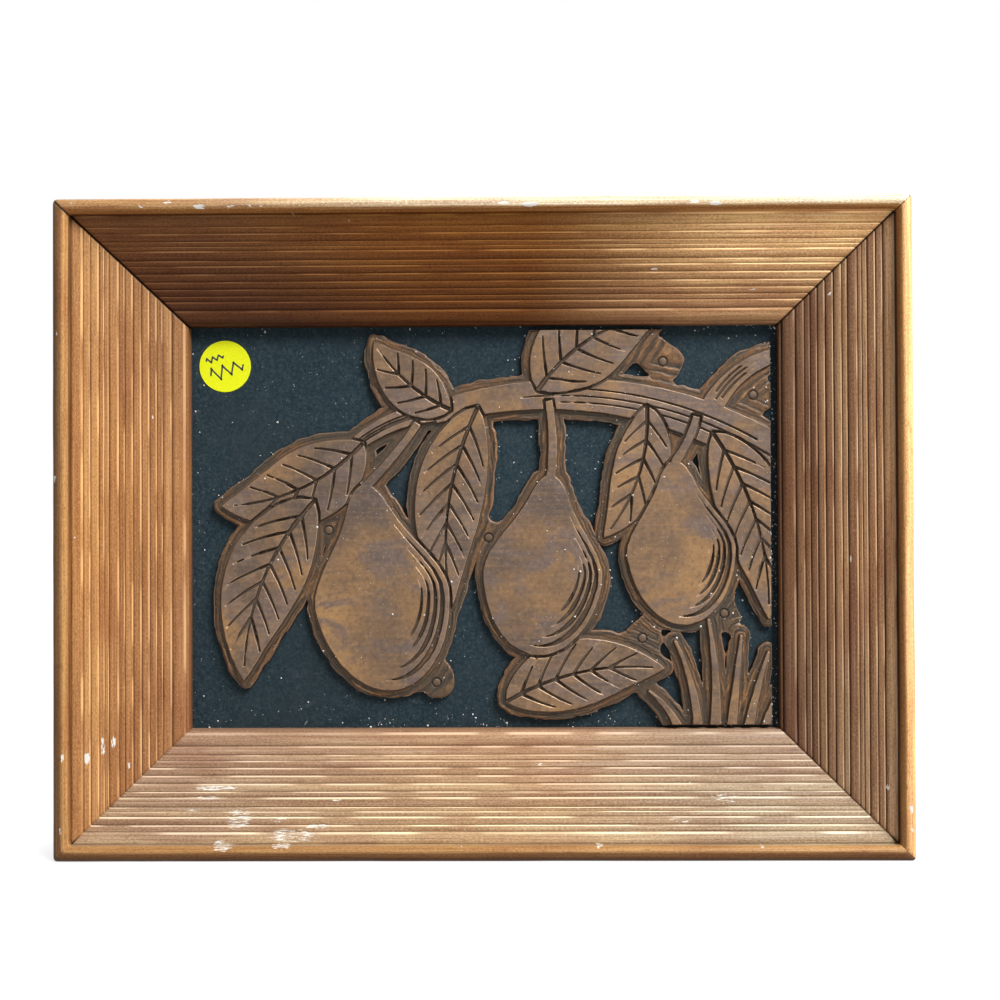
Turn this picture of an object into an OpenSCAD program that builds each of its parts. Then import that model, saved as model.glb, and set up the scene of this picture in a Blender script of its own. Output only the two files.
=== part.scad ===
// Copper relief printing plate, nailed to a painted block and hung in a reeded wood frame.
// Millimetres. X runs right, Z runs up and -Y faces the viewer. The wall side of the frame
// lies in the plane y = 0, and the origin is the point where the hanger bears on its wall nail.

/* [Frame] */
// Width of the sight opening, the part of the plate that shows
sight_w = 216; // [212:1:240]
// Height of the sight opening
sight_h = 148; // [135:1:170]
// Width of each rail, from its outer edge to the sight edge
rail_w = 41; // [40:0.5:48]
// Depth of the frame, from the wall side to the top of its outer bead
frame_d = 38; // [34:0.5:42]
// Width of the round bead along the outer edge
bead_w = 5.2; // [4:0.1:6]
// Height above the wall side at which the reeds start, beside the bead
slope_top = 33.5; // [30:0.5:34]
// Height above the wall side of the lip round the sight opening
slope_end = 15.6; // [15:0.1:18]
// Rise of each reed, as a share of its width
reed_rise = 0.3; // [0.1:0.05:0.4]
// Width of the rabbet behind the lip
rabbet_w = 6; // [5:0.5:8]
// Depth of the rabbet, from the wall side to its seat
rabbet_d = 10.5; // [9.5:0.5:11]
// Distance from the top edge of the frame down to the wall nail
hang_drop = 18; // [16:1:20]

/* [Plate] */
// Thickness of the copper plate at its etched shoulders
shoulder_t = 2.4; // [1.6:0.1:2.6]
// Height of the printing surface above the shoulders
relief_t = 1.5; // [0.8:0.1:1.5]
// Gap between the plate and the left sight edge
plate_gap_left = 1; // [0.5:0.5:4]
// Gap between the plate and the lower sight edge
plate_gap_bottom = 1; // [0.5:0.5:4]
// Gap between the plate and the right sight edge
plate_gap_right = 2.5; // [0.5:0.5:4]
// Gap between the plate and the upper sight edge
plate_gap_top = 1.5; // [0.5:0.5:4]
// Width of the shoulder left round the relief when the rest was routed away
shoulder_w = 3.2; // [3:0.1:4]
// Clear line that a shape in front cuts round itself
clear_line = 1.2; // [0.8:0.1:1.6]

/* [Back] */
// Thickness of the painted block that the plate is nailed to
block_t = 5.5; // [4.5:0.1:5.6]
// Thickness of the filler card behind the block
card_t = 2; // [1:0.1:2.1]
// Thickness of the hardboard back
board_t = 3; // [2:0.1:3.1]
// Clearance between the stack and each side of the rabbet
stack_gap = 0.5; // [0.3:0.1:1]
// Reach of a turn button, from its screw to its tip
button_reach = 17; // [15:0.5:18]
// Thickness of a turn button
button_t = 1.2; // [0.8:0.1:1.6]
// Play above and below a turn button
button_play = 0.1; // [0.05:0.05:0.3]
// Distance of each upper and lower turn button from the middle of the frame
button_place = 62; // [45:1:75]

/* [Label] */
// Diameter of the round paper label
label_d = 19; // [12:1:20]
// Distance of the label's centre from the left sight edge
label_across = 12.4; // [11:0.1:16]
// Distance of the label's centre from the upper sight edge
label_down = 14.2; // [11:0.1:16]

/* [Hidden] */
$fn = 48;

outer_w = sight_w + 2 * rail_w;
outer_h = sight_h + 2 * rail_w;
centre_z = hang_drop - outer_h / 2;
// How far a cutting shape reaches past what it cuts
overcut = 1;

// Section of the rail

// Widths of the reeds from the bead to the sight edge, before they are scaled to fill the slope
reed_widths = [3.8, 2.1, 2.6, 1.6, 1.3, 3.2, 1.7, 2.6, 2.6, 2.5, 2.3, 1.8, 2.9, 4.6];
reed_steps = 6;
bead_steps = 12;
nose_w = 0.6;

function sum(list, count, i = 0) = i >= count ? 0 : list[i] + sum(list, count, i + 1);

reed_scale = (rail_w - nose_w - bead_w) / sum(reed_widths, len(reed_widths));

function reed_start(i) = bead_w + reed_scale * sum(reed_widths, i);
function slope_at(u) = slope_top + (slope_end - slope_top) * (u - bead_w) / (rail_w - nose_w - bead_w);

// A reed is half an ellipse that stands on the slope between two grooves
function reed_point(i, turn) =
    let (w = reed_scale * reed_widths[i], u = reed_start(i) + w * (1 - cos(turn)) / 2)
    [u, slope_at(u) + reed_rise * w * sin(turn)];

function rail_section() = [
    [0, 0],
    for (k = [0:bead_steps])
        let (turn = 180 * k / bead_steps)
        [bead_w / 2 * (1 - cos(turn)), frame_d - bead_w / 2 * (1 - sin(turn))],
    for (i = [0:len(reed_widths) - 1], k = [0:reed_steps - 1]) reed_point(i, 180 * k / reed_steps),
    [rail_w - nose_w, slope_end],
    [rail_w, slope_end - nose_w],
    [rail_w, rabbet_d],
    [rail_w - rabbet_w, rabbet_d],
    [rail_w - rabbet_w, 0],
];

// Puts a drawing of the front view at a height above the wall side, growing towards the viewer
module facing(height) {
    translate([0, -height, centre_z]) rotate([90, 0, 0]) children();
}

// A rail along the top of a frame: run is its outer length, reach is how far up it lies
module mitred_rail(run, reach) {
    intersection() {
        translate([0, 0, reach])
            rotate([0, 90, 180])
                linear_extrude(height = run + 2 * overcut, center = true) polygon(rail_section());
        rotate([90, 0, 0])
            translate([0, 0, -overcut])
                linear_extrude(height = frame_d + 2 * overcut)
                    polygon([
                        [-run / 2, reach],
                        [run / 2, reach],
                        [run / 2 - rail_w, reach - rail_w],
                        [rail_w - run / 2, reach - rail_w],
                    ]);
    }
}

module placed_rail(turn, run, reach) {
    translate([0, 0, centre_z]) rotate([0, turn, 0]) mitred_rail(run, reach);
}

// Corner fasteners: a V of steel strip, driven flush across the mitre from the back

v_leg = 6;
v_thick = 0.8;
v_depth = 10;
v_places = [9, 22];

module v_nails(side_x, side_z) {
    color("dimgray")
        for (place = v_places)
            facing(0)
                linear_extrude(height = v_depth)
                    translate([side_x * (outer_w / 2 - place), side_z * (outer_h / 2 - place)])
                        scale([-side_x, -side_z]) {
                            square([v_leg, v_thick]);
                            square([v_thick, v_leg]);
                        }
}

// Hanger

hanger_half = 22.5;
hanger_tab = 7;
hanger_t = 0.8;
hanger_rise = 1.6;
hanger_h = 9;
tooth_pitch = 2.5;
tooth_h = 1.2;
tooth_overcut = 0.1;
hanger_teeth = 9;
hanger_nail_r = 0.75;
hanger_nail_head_r = 1.7;
hanger_nail_head_t = 0.7;
hanger_nail_x = hanger_half - hanger_tab / 2;
hanger_nail_z = (hanger_h - tooth_h) / 2;
hanger_nail_l = 11;

module hanger_nail_shanks() {
    for (side = [-1, 1])
        translate([side * hanger_nail_x, hanger_t, hanger_nail_z])
            rotate([90, 0, 0]) cylinder(r = hanger_nail_r, h = hanger_nail_l);
}

module sawtooth_hanger() {
    bridge = hanger_half - hanger_tab;
    ramp = 2;
    color("darkgoldenrod")
        difference() {
            translate([0, 0, -tooth_h])
                linear_extrude(height = hanger_h)
                    polygon([
                        [-hanger_half, 0], [-bridge, 0], [ramp - bridge, hanger_rise],
                        [bridge - ramp, hanger_rise], [bridge, 0], [hanger_half, 0],
                        [hanger_half, hanger_t], [bridge, hanger_t],
                        [bridge - ramp, hanger_rise + hanger_t],
                        [ramp - bridge, hanger_rise + hanger_t],
                        [-bridge, hanger_t], [-hanger_half, hanger_t],
                    ]);
            for (k = [0:hanger_teeth - 1])
                translate([(k - (hanger_teeth - 1) / 2) * tooth_pitch, hanger_rise + 2 * hanger_t, -tooth_h])
                    rotate([90, 0, 0])
                        linear_extrude(height = 3 * hanger_t)
                            polygon([
                                [-tooth_pitch / 2, -tooth_overcut],
                                [tooth_pitch / 2, -tooth_overcut],
                                [0, tooth_h],
                            ]);
            hanger_nail_shanks();
        }
}

module hanger_nails() {
    color("goldenrod") {
        hanger_nail_shanks();
        for (side = [-1, 1])
            translate([side * hanger_nail_x, hanger_t + hanger_nail_head_t, hanger_nail_z])
                rotate([90, 0, 0]) cylinder(r = hanger_nail_head_r, h = hanger_nail_head_t);
    }
}

// Turn buttons: each swivels on its screw in the back of a rail

button_r = 5;
button_tip_r = 2.6;
screw_r = 1.45;
button_bore_r = screw_r + 0.05;
screw_l = 11;
screw_head_r = 2.9;
screw_head_t = 1.8;
// The head rises straight to its rim, then rounds in to its shoulder and its flat top
screw_rim_t = 0.5;
screw_shoulder_r = 0.86 * screw_head_r;
screw_shoulder_t = 0.7 * screw_head_t;
screw_flat_r = 0.5 * screw_head_r;
slot_w = 0.8;
slot_d = 0.9;
slot_turn = 25;
pivot_inset = 9;
pivot_x = sight_w / 2 + rabbet_w + pivot_inset;
pivot_z = sight_h / 2 + rabbet_w + pivot_inset;

// Place and direction of each button: across, up from the frame's middle, and its turn
button_seats = [
    [-button_place, pivot_z, 180],
    [button_place, pivot_z, 180],
    [-button_place, -pivot_z, 0],
    [button_place, -pivot_z, 0],
    [-pivot_x, 0, 90],
    [pivot_x, 0, -90],
];

// Width of the arm at its root and at its tip, as a share of each round end
button_root = 0.86;
button_end = 0.96;

module turn_button(seat) {
    arm = button_reach - button_tip_r;
    color("silver")
        translate([seat.x, button_play + button_t, seat.y + centre_z])
            rotate([0, seat.z, 0])
                rotate([90, 0, 0])
                    difference() {
                        union() {
                            cylinder(r = button_r, h = button_t);
                            translate([0, arm, 0]) cylinder(r = button_tip_r, h = button_t);
                            linear_extrude(height = button_t)
                                polygon([
                                    [-button_root * button_r, 0], [-button_end * button_tip_r, arm],
                                    [button_end * button_tip_r, arm], [button_root * button_r, 0],
                                ]);
                        }
                        translate([0, 0, -overcut]) cylinder(r = button_bore_r, h = button_t + 2 * overcut);
                    }
}

module screw_shanks() {
    for (seat = button_seats)
        translate([seat.x, button_t + 2 * button_play, seat.y + centre_z])
            rotate([90, 0, 0]) cylinder(r = screw_r, h = screw_l);
}

module turn_button_screws() {
    color("lightslategray") {
        screw_shanks();
        for (seat = button_seats)
            translate([seat.x, button_t + 2 * button_play, seat.y + centre_z])
                difference() {
                    rotate([-90, 0, 0])
                        rotate_extrude()
                            polygon([
                                [0, 0], [screw_head_r, 0], [screw_head_r, screw_rim_t],
                                [screw_shoulder_r, screw_shoulder_t],
                                [screw_flat_r, screw_head_t], [0, screw_head_t],
                            ]);
                    rotate([0, slot_turn + seat.x, 0])
                        translate([-screw_head_r - overcut, screw_head_t - slot_d, -slot_w / 2])
                            cube([2 * (screw_head_r + overcut), slot_d + overcut, slot_w]);
                }
    }
}

// Rails, cut for the fasteners that are driven into them

module rail_top() {
    color("sienna")
        difference() {
            placed_rail(0, outer_w, outer_h / 2);
            v_nails(-1, 1);
            v_nails(1, 1);
            screw_shanks();
            hanger_nail_shanks();
        }
}

module rail_bottom() {
    color("burlywood")
        difference() {
            placed_rail(180, outer_w, outer_h / 2);
            v_nails(-1, -1);
            v_nails(1, -1);
            screw_shanks();
        }
}

module rail_left() {
    color("peru")
        difference() {
            placed_rail(-90, outer_h, outer_w / 2);
            v_nails(-1, 1);
            v_nails(-1, -1);
            screw_shanks();
        }
}

module rail_right() {
    color("peru")
        difference() {
            placed_rail(90, outer_h, outer_w / 2);
            v_nails(1, 1);
            v_nails(1, -1);
            screw_shanks();
        }
}

// Relief of the plate: a fruiting branch, drawn in the front view about the middle of the sight

function bend(a, b, c, s) = (1 - s) * (1 - s) * a + 2 * s * (1 - s) * b + s * s * c;
function side_way(a, b, c, s) =
    let (d = (1 - s) * (b - a) + s * (c - b)) [-d.y, d.x] / norm(d);

// A strip along a bent line, from one width to another, over the part of the line from s0 to s1
function strip(a, b, c, w0, w1, steps, s0 = 0, s1 = 1, aside = 0) = [
    for (side = [1, -1], k = [0:steps])
        let (
            f = side > 0 ? k / steps : 1 - k / steps,
            s = s0 + (s1 - s0) * f,
            half = (w0 + (w1 - w0) * f) / 2
        )
        bend(a, b, c, s) + side_way(a, b, c, s) * (aside + side * half)
];

// Each leaf: its base, its tip, its width and how far it bows
leaves = [
    [[-44, 31], [-96, 8], 27, 6],
    [[-62, 10], [-88, -56], 29, -7],
    [[20, 50], [66, 78], 30, 6],
    [[-12, 43], [-40, 68], 19, 3],
    [[-2, 44], [-12, -30], 25, -6],
    [[60, 44], [44, -4], 20, 5],
    [[84, 34], [104, -34], 25, 6],
    [[8, -64], [66, -52], 25, 5],
];
// Each fruit: its middle, its radius, its height, its tilt and where its stalk joins the branch
fruits = [
    [[-38, -22], 25, 76, 9, [-24, 38]],
    [[22, -14], 22, 66, -5, [24, 46]],
    [[72, -6], 20, 60, 4, [78, 40]],
];
// Each branch: its start, its bend, its end and its two widths
branches = [
    [[114, 20], [56, 62], [-18, 42], 17, 8],
    [[-14, 43], [-50, 40], [-66, 4], 7.5, 3],
    [[84, 44], [92, 58], [106, 62], 8, 5],
];
// Each blade of grass, as a branch
blades = [
    [[78, -76], [78, -60], [70, -42], 3.6, 0.8],
    [[84, -76], [86, -56], [82, -34], 4, 0.8],
    [[90, -76], [92, -58], [94, -40], 3.8, 0.8],
    [[96, -76], [99, -60], [104, -46], 3.6, 0.8],
    [[72, -76], [68, -66], [60, -60], 3.2, 0.8],
    [[102, -76], [104, -66], [108, -60], 3.2, 0.8],
];
leaf_steps = 12;
vein_spacing = 10.5;
fruit_steps = 30;
branch_steps = 10;
blade_steps = 4;
midrib_steps = 5;
stalk_steps = 4;
bark_steps = 6;
shade_steps = 6;
// Round lands of shoulder left for the nails: across, up and radius
lands = [
    [-57, -1, 5], [-17.5, -57, 6], [1.8, -4, 5.5], [58, -41, 6.5],
    [99, 48, 7.5], [66, 60.5, 7], [88, -32, 6],
];
// Each shading line of a fruit: its size against the outline, its start and end turn and its width
shade_lines = [[0.9, 262, 400, 1.7], [0.8, 276, 384, 1.4], [0.7, 288, 372, 1.2], [0.6, 298, 362, 1]];
shade_tip_w = 0.2;

// A leaf is widest nearer its base than its tip, and fuller than a plain sine curve
leaf_lean = 0.8;
leaf_fullness = 0.85;
// Widths of a midrib and of a side vein, from base to end
midrib_w = [1.6, 0.6];
vein_w = [1.1, 0.5];
// Shares of the leaf's length: the midrib's run, the first side vein's start, the spread of all
// the starts and each side vein's run
midrib_run = 0.93;
vein_first = 0.1;
vein_spread = 0.68;
vein_run = 0.17;
// Share of the leaf's half width that a side vein crosses, and how far it bows
vein_reach = 0.86;
vein_bow = 0.01;

// Shares of a fruit's half height: where its neck starts below the middle, and the neck's run
neck_drop = 0.15;
neck_run = 0.95;
// Share of its radius by which the neck narrows
neck_in = 0.52;
// Where the stalk starts, as a share of the fruit's size, its bow and its widths
stalk_root = 0.97;
stalk_bow = [2, 0];
stalk_w = [3.2, 2.4];

// Each groove of the bark: its place across, as a share of the branch's end width, and the shares
// of the branch between which it runs
bark_grooves = [[-0.264, 0.126, 0.712], [0.06, 0.075, 0.78], [0.36, 0.15, 0.68]];
bark_w = [0.9, 0.6];

function leaf_mid(leaf) =
    let (d = leaf[1] - leaf[0]) (leaf[0] + leaf[1]) / 2 + 2 * leaf[3] * [-d.y, d.x] / norm(d);
function leaf_half(leaf, s) = leaf[2] / 2 * pow(sin(180 * pow(s, leaf_lean)), leaf_fullness);
function leaf_point(leaf, s, share) =
    bend(leaf[0], leaf_mid(leaf), leaf[1], s)
        + side_way(leaf[0], leaf_mid(leaf), leaf[1], s) * leaf_half(leaf, s) * share;

module leaf_outline(leaf) {
    polygon([
        leaf[0],
        for (k = [1:leaf_steps - 1]) leaf_point(leaf, k / leaf_steps, 1),
        leaf[1],
        for (k = [1:leaf_steps - 1]) leaf_point(leaf, 1 - k / leaf_steps, -1),
    ]);
}

module leaf_veins(leaf) {
    count = max(3, round(norm(leaf[1] - leaf[0]) / vein_spacing));
    polygon(strip(leaf[0], leaf_mid(leaf), leaf[1], midrib_w[0], midrib_w[1], midrib_steps, 0, midrib_run));
    for (k = [0:count - 1], side = [-1, 1]) {
        s = vein_first + vein_spread * k / count;
        start = leaf_point(leaf, s, 0);
        end = leaf_point(leaf, s + vein_run, vein_reach * side);
        polygon(strip(start, (start + end) / 2 + [vein_bow, 0], end, vein_w[0], vein_w[1], 1));
    }
}

// The fruit narrows to its neck in the upper part of its height
function neck(rise) =
    let (u = min(1, max(0, (rise + neck_drop) / neck_run))) 1 - neck_in * u * u * (3 - 2 * u);
function fruit_point(fruit, turn, size = 1) =
    let (
        x = fruit[1] * cos(turn) * neck(sin(turn)) * size,
        z = fruit[2] / 2 * sin(turn) * size
    )
    fruit[0] + [x * cos(fruit[3]) - z * sin(fruit[3]), x * sin(fruit[3]) + z * cos(fruit[3])];

module fruit_outline(fruit) {
    top = fruit_point(fruit, 90, stalk_root);
    polygon([for (k = [0:fruit_steps - 1]) fruit_point(fruit, 360 * k / fruit_steps)]);
    polygon(strip(top, (top + fruit[4]) / 2 + stalk_bow, fruit[4], stalk_w[0], stalk_w[1], stalk_steps));
}

module fruit_shading(fruit) {
    for (line = shade_lines)
        polygon([
            for (side = [1, -1], k = [0:shade_steps])
                let (
                    f = side > 0 ? k / shade_steps : 1 - k / shade_steps,
                    half = (shade_tip_w + line[3] * sin(180 * f)) / 2 / fruit[1]
                )
                fruit_point(fruit, line[1] + (line[2] - line[1]) * f, line[0] + side * half),
        ]);
}

module branch_bark(branch) {
    for (groove = bark_grooves)
        polygon(strip(branch[0], branch[1], branch[2], bark_w[0], bark_w[1], bark_steps,
            groove[1], groove[2], groove[0] * branch[4]));
}

// What was drawn before, cut back by a clear line round the shape that comes in front of it
module in_front() {
    difference() {
        children(0);
        offset(delta = clear_line) children(1);
    }
    difference() {
        children(1);
        children(2);
    }
}

module branch_outline(branch, steps) {
    polygon(strip(branch[0], branch[1], branch[2], branch[3], branch[4], steps));
}

module branch_relief() {
    difference() {
        for (branch = branches) branch_outline(branch, branch_steps);
        for (branch = branches) branch_bark(branch);
    }
}

module leaf_relief(count) {
    if (count == 0)
        branch_relief();
    else
        in_front() {
            leaf_relief(count - 1);
            leaf_outline(leaves[count - 1]);
            leaf_veins(leaves[count - 1]);
        }
}

module relief(count) {
    if (count == 0)
        leaf_relief(len(leaves));
    else
        in_front() {
            relief(count - 1);
            fruit_outline(fruits[count - 1]);
            fruit_shading(fruits[count - 1]);
        }
}

module relief_drawing() {
    relief(len(fruits));
    for (blade = blades) branch_outline(blade, blade_steps);
}

// Everything that the router left standing
module shoulder_drawing() {
    offset(r = shoulder_w, $fn = 20) {
        for (leaf = leaves) leaf_outline(leaf);
        for (fruit = fruits) fruit_outline(fruit);
        for (branch = branches) branch_outline(branch, branch_steps);
        for (blade = blades) branch_outline(blade, blade_steps);
    }
    for (land = lands) translate([land.x, land.y]) circle(r = land.z, $fn = 24);
}

module plate_field() {
    translate([plate_gap_left - sight_w / 2, plate_gap_bottom - sight_h / 2])
        square([sight_w - plate_gap_left - plate_gap_right, sight_h - plate_gap_bottom - plate_gap_top]);
}

plate_bevel = 0.5;
// Half the width up to which a strip is a sliver, and how far the outlines are then drawn in,
// so that shapes that only touched come apart
sliver = 0.12;
parting = 0.01;
plate_nail_r = 0.7;
plate_nail_l = 7;
plate_nail_head_r = 1.5;
plate_nail_head_t = 0.6;

module plate_nail_shanks() {
    for (land = lands)
        facing(rabbet_d + shoulder_t - plate_nail_l)
            translate([land.x, land.y]) cylinder(r = plate_nail_r, h = plate_nail_l);
}

module plate_nails() {
    color("saddlebrown") {
        plate_nail_shanks();
        for (land = lands)
            facing(rabbet_d + shoulder_t)
                translate([land.x, land.y]) cylinder(r = plate_nail_head_r, h = plate_nail_head_t);
    }
}

// Takes away slivers and parts what only touches at a point
module cleaned() {
    offset(delta = sliver - parting) offset(delta = -sliver) children();
}

module copper_plate() {
    color("chocolate")
        difference() {
            union() {
                facing(rabbet_d)
                    linear_extrude(height = shoulder_t)
                        cleaned()
                            intersection() {
                                plate_field();
                                shoulder_drawing();
                            }
                facing(rabbet_d + shoulder_t)
                    linear_extrude(height = relief_t)
                        cleaned()
                            intersection() {
                                offset(delta = -plate_bevel) plate_field();
                                relief_drawing();
                            }
            }
            plate_nail_shanks();
        }
}

// Stack behind the plate: painted block, filler card and hardboard back

// How much further in the card's edges lie than the block's
card_inset = 0.5;

module sheet(from, thickness, gap) {
    facing(from)
        linear_extrude(height = thickness)
            square([sight_w + 2 * (rabbet_w - gap), sight_h + 2 * (rabbet_w - gap)], center = true);
}

module mount_block() {
    color("darkslategray")
        difference() {
            sheet(rabbet_d - block_t, block_t, stack_gap);
            plate_nail_shanks();
        }
}

module filler_card() {
    color("tan") sheet(board_t, card_t, stack_gap + card_inset);
}

module backboard() {
    color("saddlebrown") sheet(0, board_t, stack_gap);
}

label_t = 0.2;

module round_label() {
    color("yellow")
        facing(rabbet_d)
            translate([label_across - sight_w / 2, sight_h / 2 - label_down])
                cylinder(d = label_d, h = label_t);
}

// Pads that hold the bottom of the frame off the wall

pad_r = 6;
pad_t = 3.5;
// Distance of each pad from the end of the rail, and from its outer edge
pad_place = [38, 17];

module wall_pad(side) {
    color("dimgray")
        translate([side * (outer_w / 2 - pad_place.x), 0, centre_z - outer_h / 2 + pad_place.y])
            rotate([-90, 0, 0]) cylinder(r = pad_r, h = pad_t);
}

rail_top();
rail_bottom();
rail_left();
rail_right();
v_nails(-1, 1);  // corner_nails_top_left
v_nails(1, 1);  // corner_nails_top_right
v_nails(-1, -1);  // corner_nails_bottom_left
v_nails(1, -1);  // corner_nails_bottom_right
copper_plate();
plate_nails();
mount_block();
filler_card();
backboard();
round_label();
turn_button(button_seats[0]);  // turn_button_top_left
turn_button(button_seats[1]);  // turn_button_top_right
turn_button(button_seats[2]);  // turn_button_bottom_left
turn_button(button_seats[3]);  // turn_button_bottom_right
turn_button(button_seats[4]);  // turn_button_left
turn_button(button_seats[5]);  // turn_button_right
turn_button_screws();
sawtooth_hanger();
hanger_nails();
wall_pad(-1);  // wall_pad_left
wall_pad(1);  // wall_pad_right
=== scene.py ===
import math

import bpy
import numpy as np
from mathutils import Matrix, Vector
from mathutils.geometry import delaunay_2d_cdt


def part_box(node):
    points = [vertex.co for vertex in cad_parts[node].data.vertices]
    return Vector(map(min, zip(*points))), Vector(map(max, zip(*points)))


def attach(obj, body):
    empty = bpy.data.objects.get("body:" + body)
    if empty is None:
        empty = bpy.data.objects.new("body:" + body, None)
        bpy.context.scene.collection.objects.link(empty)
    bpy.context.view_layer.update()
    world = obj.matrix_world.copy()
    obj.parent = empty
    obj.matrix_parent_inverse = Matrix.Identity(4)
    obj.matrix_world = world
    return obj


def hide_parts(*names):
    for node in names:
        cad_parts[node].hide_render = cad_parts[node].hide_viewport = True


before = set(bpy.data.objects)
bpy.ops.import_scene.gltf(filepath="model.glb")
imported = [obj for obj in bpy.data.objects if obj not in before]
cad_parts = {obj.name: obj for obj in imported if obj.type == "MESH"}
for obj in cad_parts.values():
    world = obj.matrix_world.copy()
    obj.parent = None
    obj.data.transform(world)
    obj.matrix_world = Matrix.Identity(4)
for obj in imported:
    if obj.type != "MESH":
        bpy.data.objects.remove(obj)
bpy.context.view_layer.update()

# Measures, in millimetres, read from the frame where it holds them

MM = 0.001


def node_box(name):
    """Lowest and highest corner of a CAD node, in millimetres"""
    low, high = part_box(name)
    return np.array(low) / MM, np.array(high) / MM


top_low, top_high = node_box("rail_top")
side_low, side_high = node_box("rail_left")
plate_low, plate_high = node_box("copper_plate")
label_low, label_high = node_box("round_label")

outer_w = top_high[0] - top_low[0]
outer_h = side_high[2] - side_low[2]
rail_w = top_high[2] - top_low[2]
frame_d = -top_low[1]
centre_z = (side_low[2] + side_high[2]) / 2
block_front = -node_box("mount_block")[0][1]
relief_top = -plate_low[1]
relief_t = 1.5
shoulder_top = relief_top - relief_t
sight_w = outer_w - 2 * rail_w
sight_h = outer_h - 2 * rail_w


def in_frame(x, height, z):
    """A point of the front drawing, at a height above the wall side, in metres in the frame"""
    return (x * MM, -height * MM, (z + centre_z) * MM)


# Noise on arrays, seeded, for shapes

lattice_size = 256
lattice_start = (83.3, 47.7)


def smooth(share):
    """A share from 0 to 1 that eases in and out"""
    return share * share * (3 - 2 * share)


def ease(low, high, value):
    """0 below low, 1 above high and smooth between"""
    return smooth(np.clip((np.asarray(value, float) - low) / (high - low), 0, 1))


def looked_up(table, row, col, down, across):
    """A table's value between four of its cells"""
    low = table[row, col] * (1 - across) + table[row, col + 1] * across
    high = table[row + 1, col] * (1 - across) + table[row + 1, col + 1] * across
    return low * (1 - down) + high * down


def value_noise(x, y, size, seed):
    """Smooth noise between -1 and 1 whose lumps are about size wide"""
    lattice = np.random.default_rng(seed).uniform(-1, 1, (lattice_size + 1, lattice_size + 1))
    x = np.asarray(x) / size + lattice_start[0]
    y = np.asarray(y) / size + lattice_start[1]
    col, row = np.floor(x).astype(int), np.floor(y).astype(int)
    return looked_up(lattice, row % lattice_size, col % lattice_size, smooth(y - row), smooth(x - col))


# Mesh and piece helpers

def link(name, data):
    """A new object in the scene"""
    made = bpy.data.objects.new(name, data)
    bpy.context.scene.collection.objects.link(made)
    return made


def tube_faces(count, ring, first=0):
    """Faces of a closed tube of rings of points, with a cap on each end"""
    last = first + (count - 1) * ring
    faces = [
        (a + j, a + (j + 1) % ring, a + ring + (j + 1) % ring, a + ring + j)
        for a in range(first, last, ring) for j in range(ring)
    ]
    return faces + [tuple(range(first, first + ring))[::-1], tuple(range(last, last + ring))]


def make_piece(name, points, faces, material, smooth_angle=35, attributes=None):
    """A mesh piece of the frame, with its material and its numbers for each point"""
    mesh = bpy.data.meshes.new(name)
    mesh.from_pydata(points, [], faces)
    mesh.validate()
    for key, values in (attributes or {}).items():
        values = np.asarray(values, np.float32)
        kind, field = ("FLOAT", "value") if values.ndim == 1 else ("FLOAT_VECTOR", "vector")
        mesh.attributes.new(key, kind, "POINT").data.foreach_set(field, values.ravel())
    mesh.shade_smooth()
    mesh.set_sharp_from_angle(angle=math.radians(smooth_angle))
    mesh.materials.append(material)
    piece = link(name, mesh)
    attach(piece, "frame")
    return piece


# Material helpers

def new_material(name):
    """A material, its tree and the point of the object that is shaded"""
    material = bpy.data.materials.new(name)
    material.use_nodes = True
    tree = material.node_tree
    return material, tree, add(tree, "ShaderNodeTexCoord").outputs["Object"]


def put(tree, socket, value):
    """Sets a socket, or links it when the value is another node's output"""
    if isinstance(value, bpy.types.NodeSocket):
        tree.links.new(value, socket)
    elif isinstance(value, (tuple, list)) and len(value) == 3 and len(socket.default_value) == 4:
        socket.default_value = (*value, 1)
    else:
        socket.default_value = value


def add(tree, kind, settings=None, **inputs):
    made = tree.nodes.new(kind)
    for key, value in (settings or {}).items():
        setattr(made, key, value)
    for key, value in inputs.items():
        put(tree, made.inputs[key.replace("_", " ")], value)
    return made


def attribute(tree, name, output="Fac"):
    return add(tree, "ShaderNodeAttribute", {"attribute_name": name}).outputs[output]


def stretched(tree, vector, scale):
    made = add(tree, "ShaderNodeVectorMath", {"operation": "MULTIPLY"})
    put(tree, made.inputs[0], vector)
    put(tree, made.inputs[1], scale)
    return made.outputs[0]


def noise(tree, vector, scale, detail=3, roughness=0.55, distortion=0):
    made = add(tree, "ShaderNodeTexNoise", Vector=vector, Scale=scale, Detail=detail,
               Roughness=roughness, Distortion=distortion)
    return made.outputs["Fac"]


def sums(tree, operation, a, b=0.0):
    made = add(tree, "ShaderNodeMath", {"operation": operation})
    put(tree, made.inputs[0], a)
    put(tree, made.inputs[1], b)
    return made.outputs[0]


def times(tree, a, b):
    return sums(tree, "MULTIPLY", a, b)


def between(tree, value, low, high, to_low=0.0, to_high=1.0):
    """The value carried from one range to another, smoothly and clamped"""
    made = add(tree, "ShaderNodeMapRange", {"interpolation_type": "SMOOTHSTEP"}, Value=value,
               From_Min=low, From_Max=high, To_Min=to_low, To_Max=to_high)
    return made.outputs["Result"]


def mixed(tree, share, a, b, mode="MIX"):
    made = add(tree, "ShaderNodeMix", {"data_type": "RGBA", "blend_type": mode})
    for number, value in ((0, share), (6, a), (7, b)):
        put(tree, made.inputs[number], value)
    return made.outputs[2]


def layered(tree, colour, layers):
    """The colour under others, each with a value, the value's range and its cover at both ends"""
    for value, spread, cover in layers:
        colour = mixed(tree, between(tree, value, *spread), colour, cover)
    return colour


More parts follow.
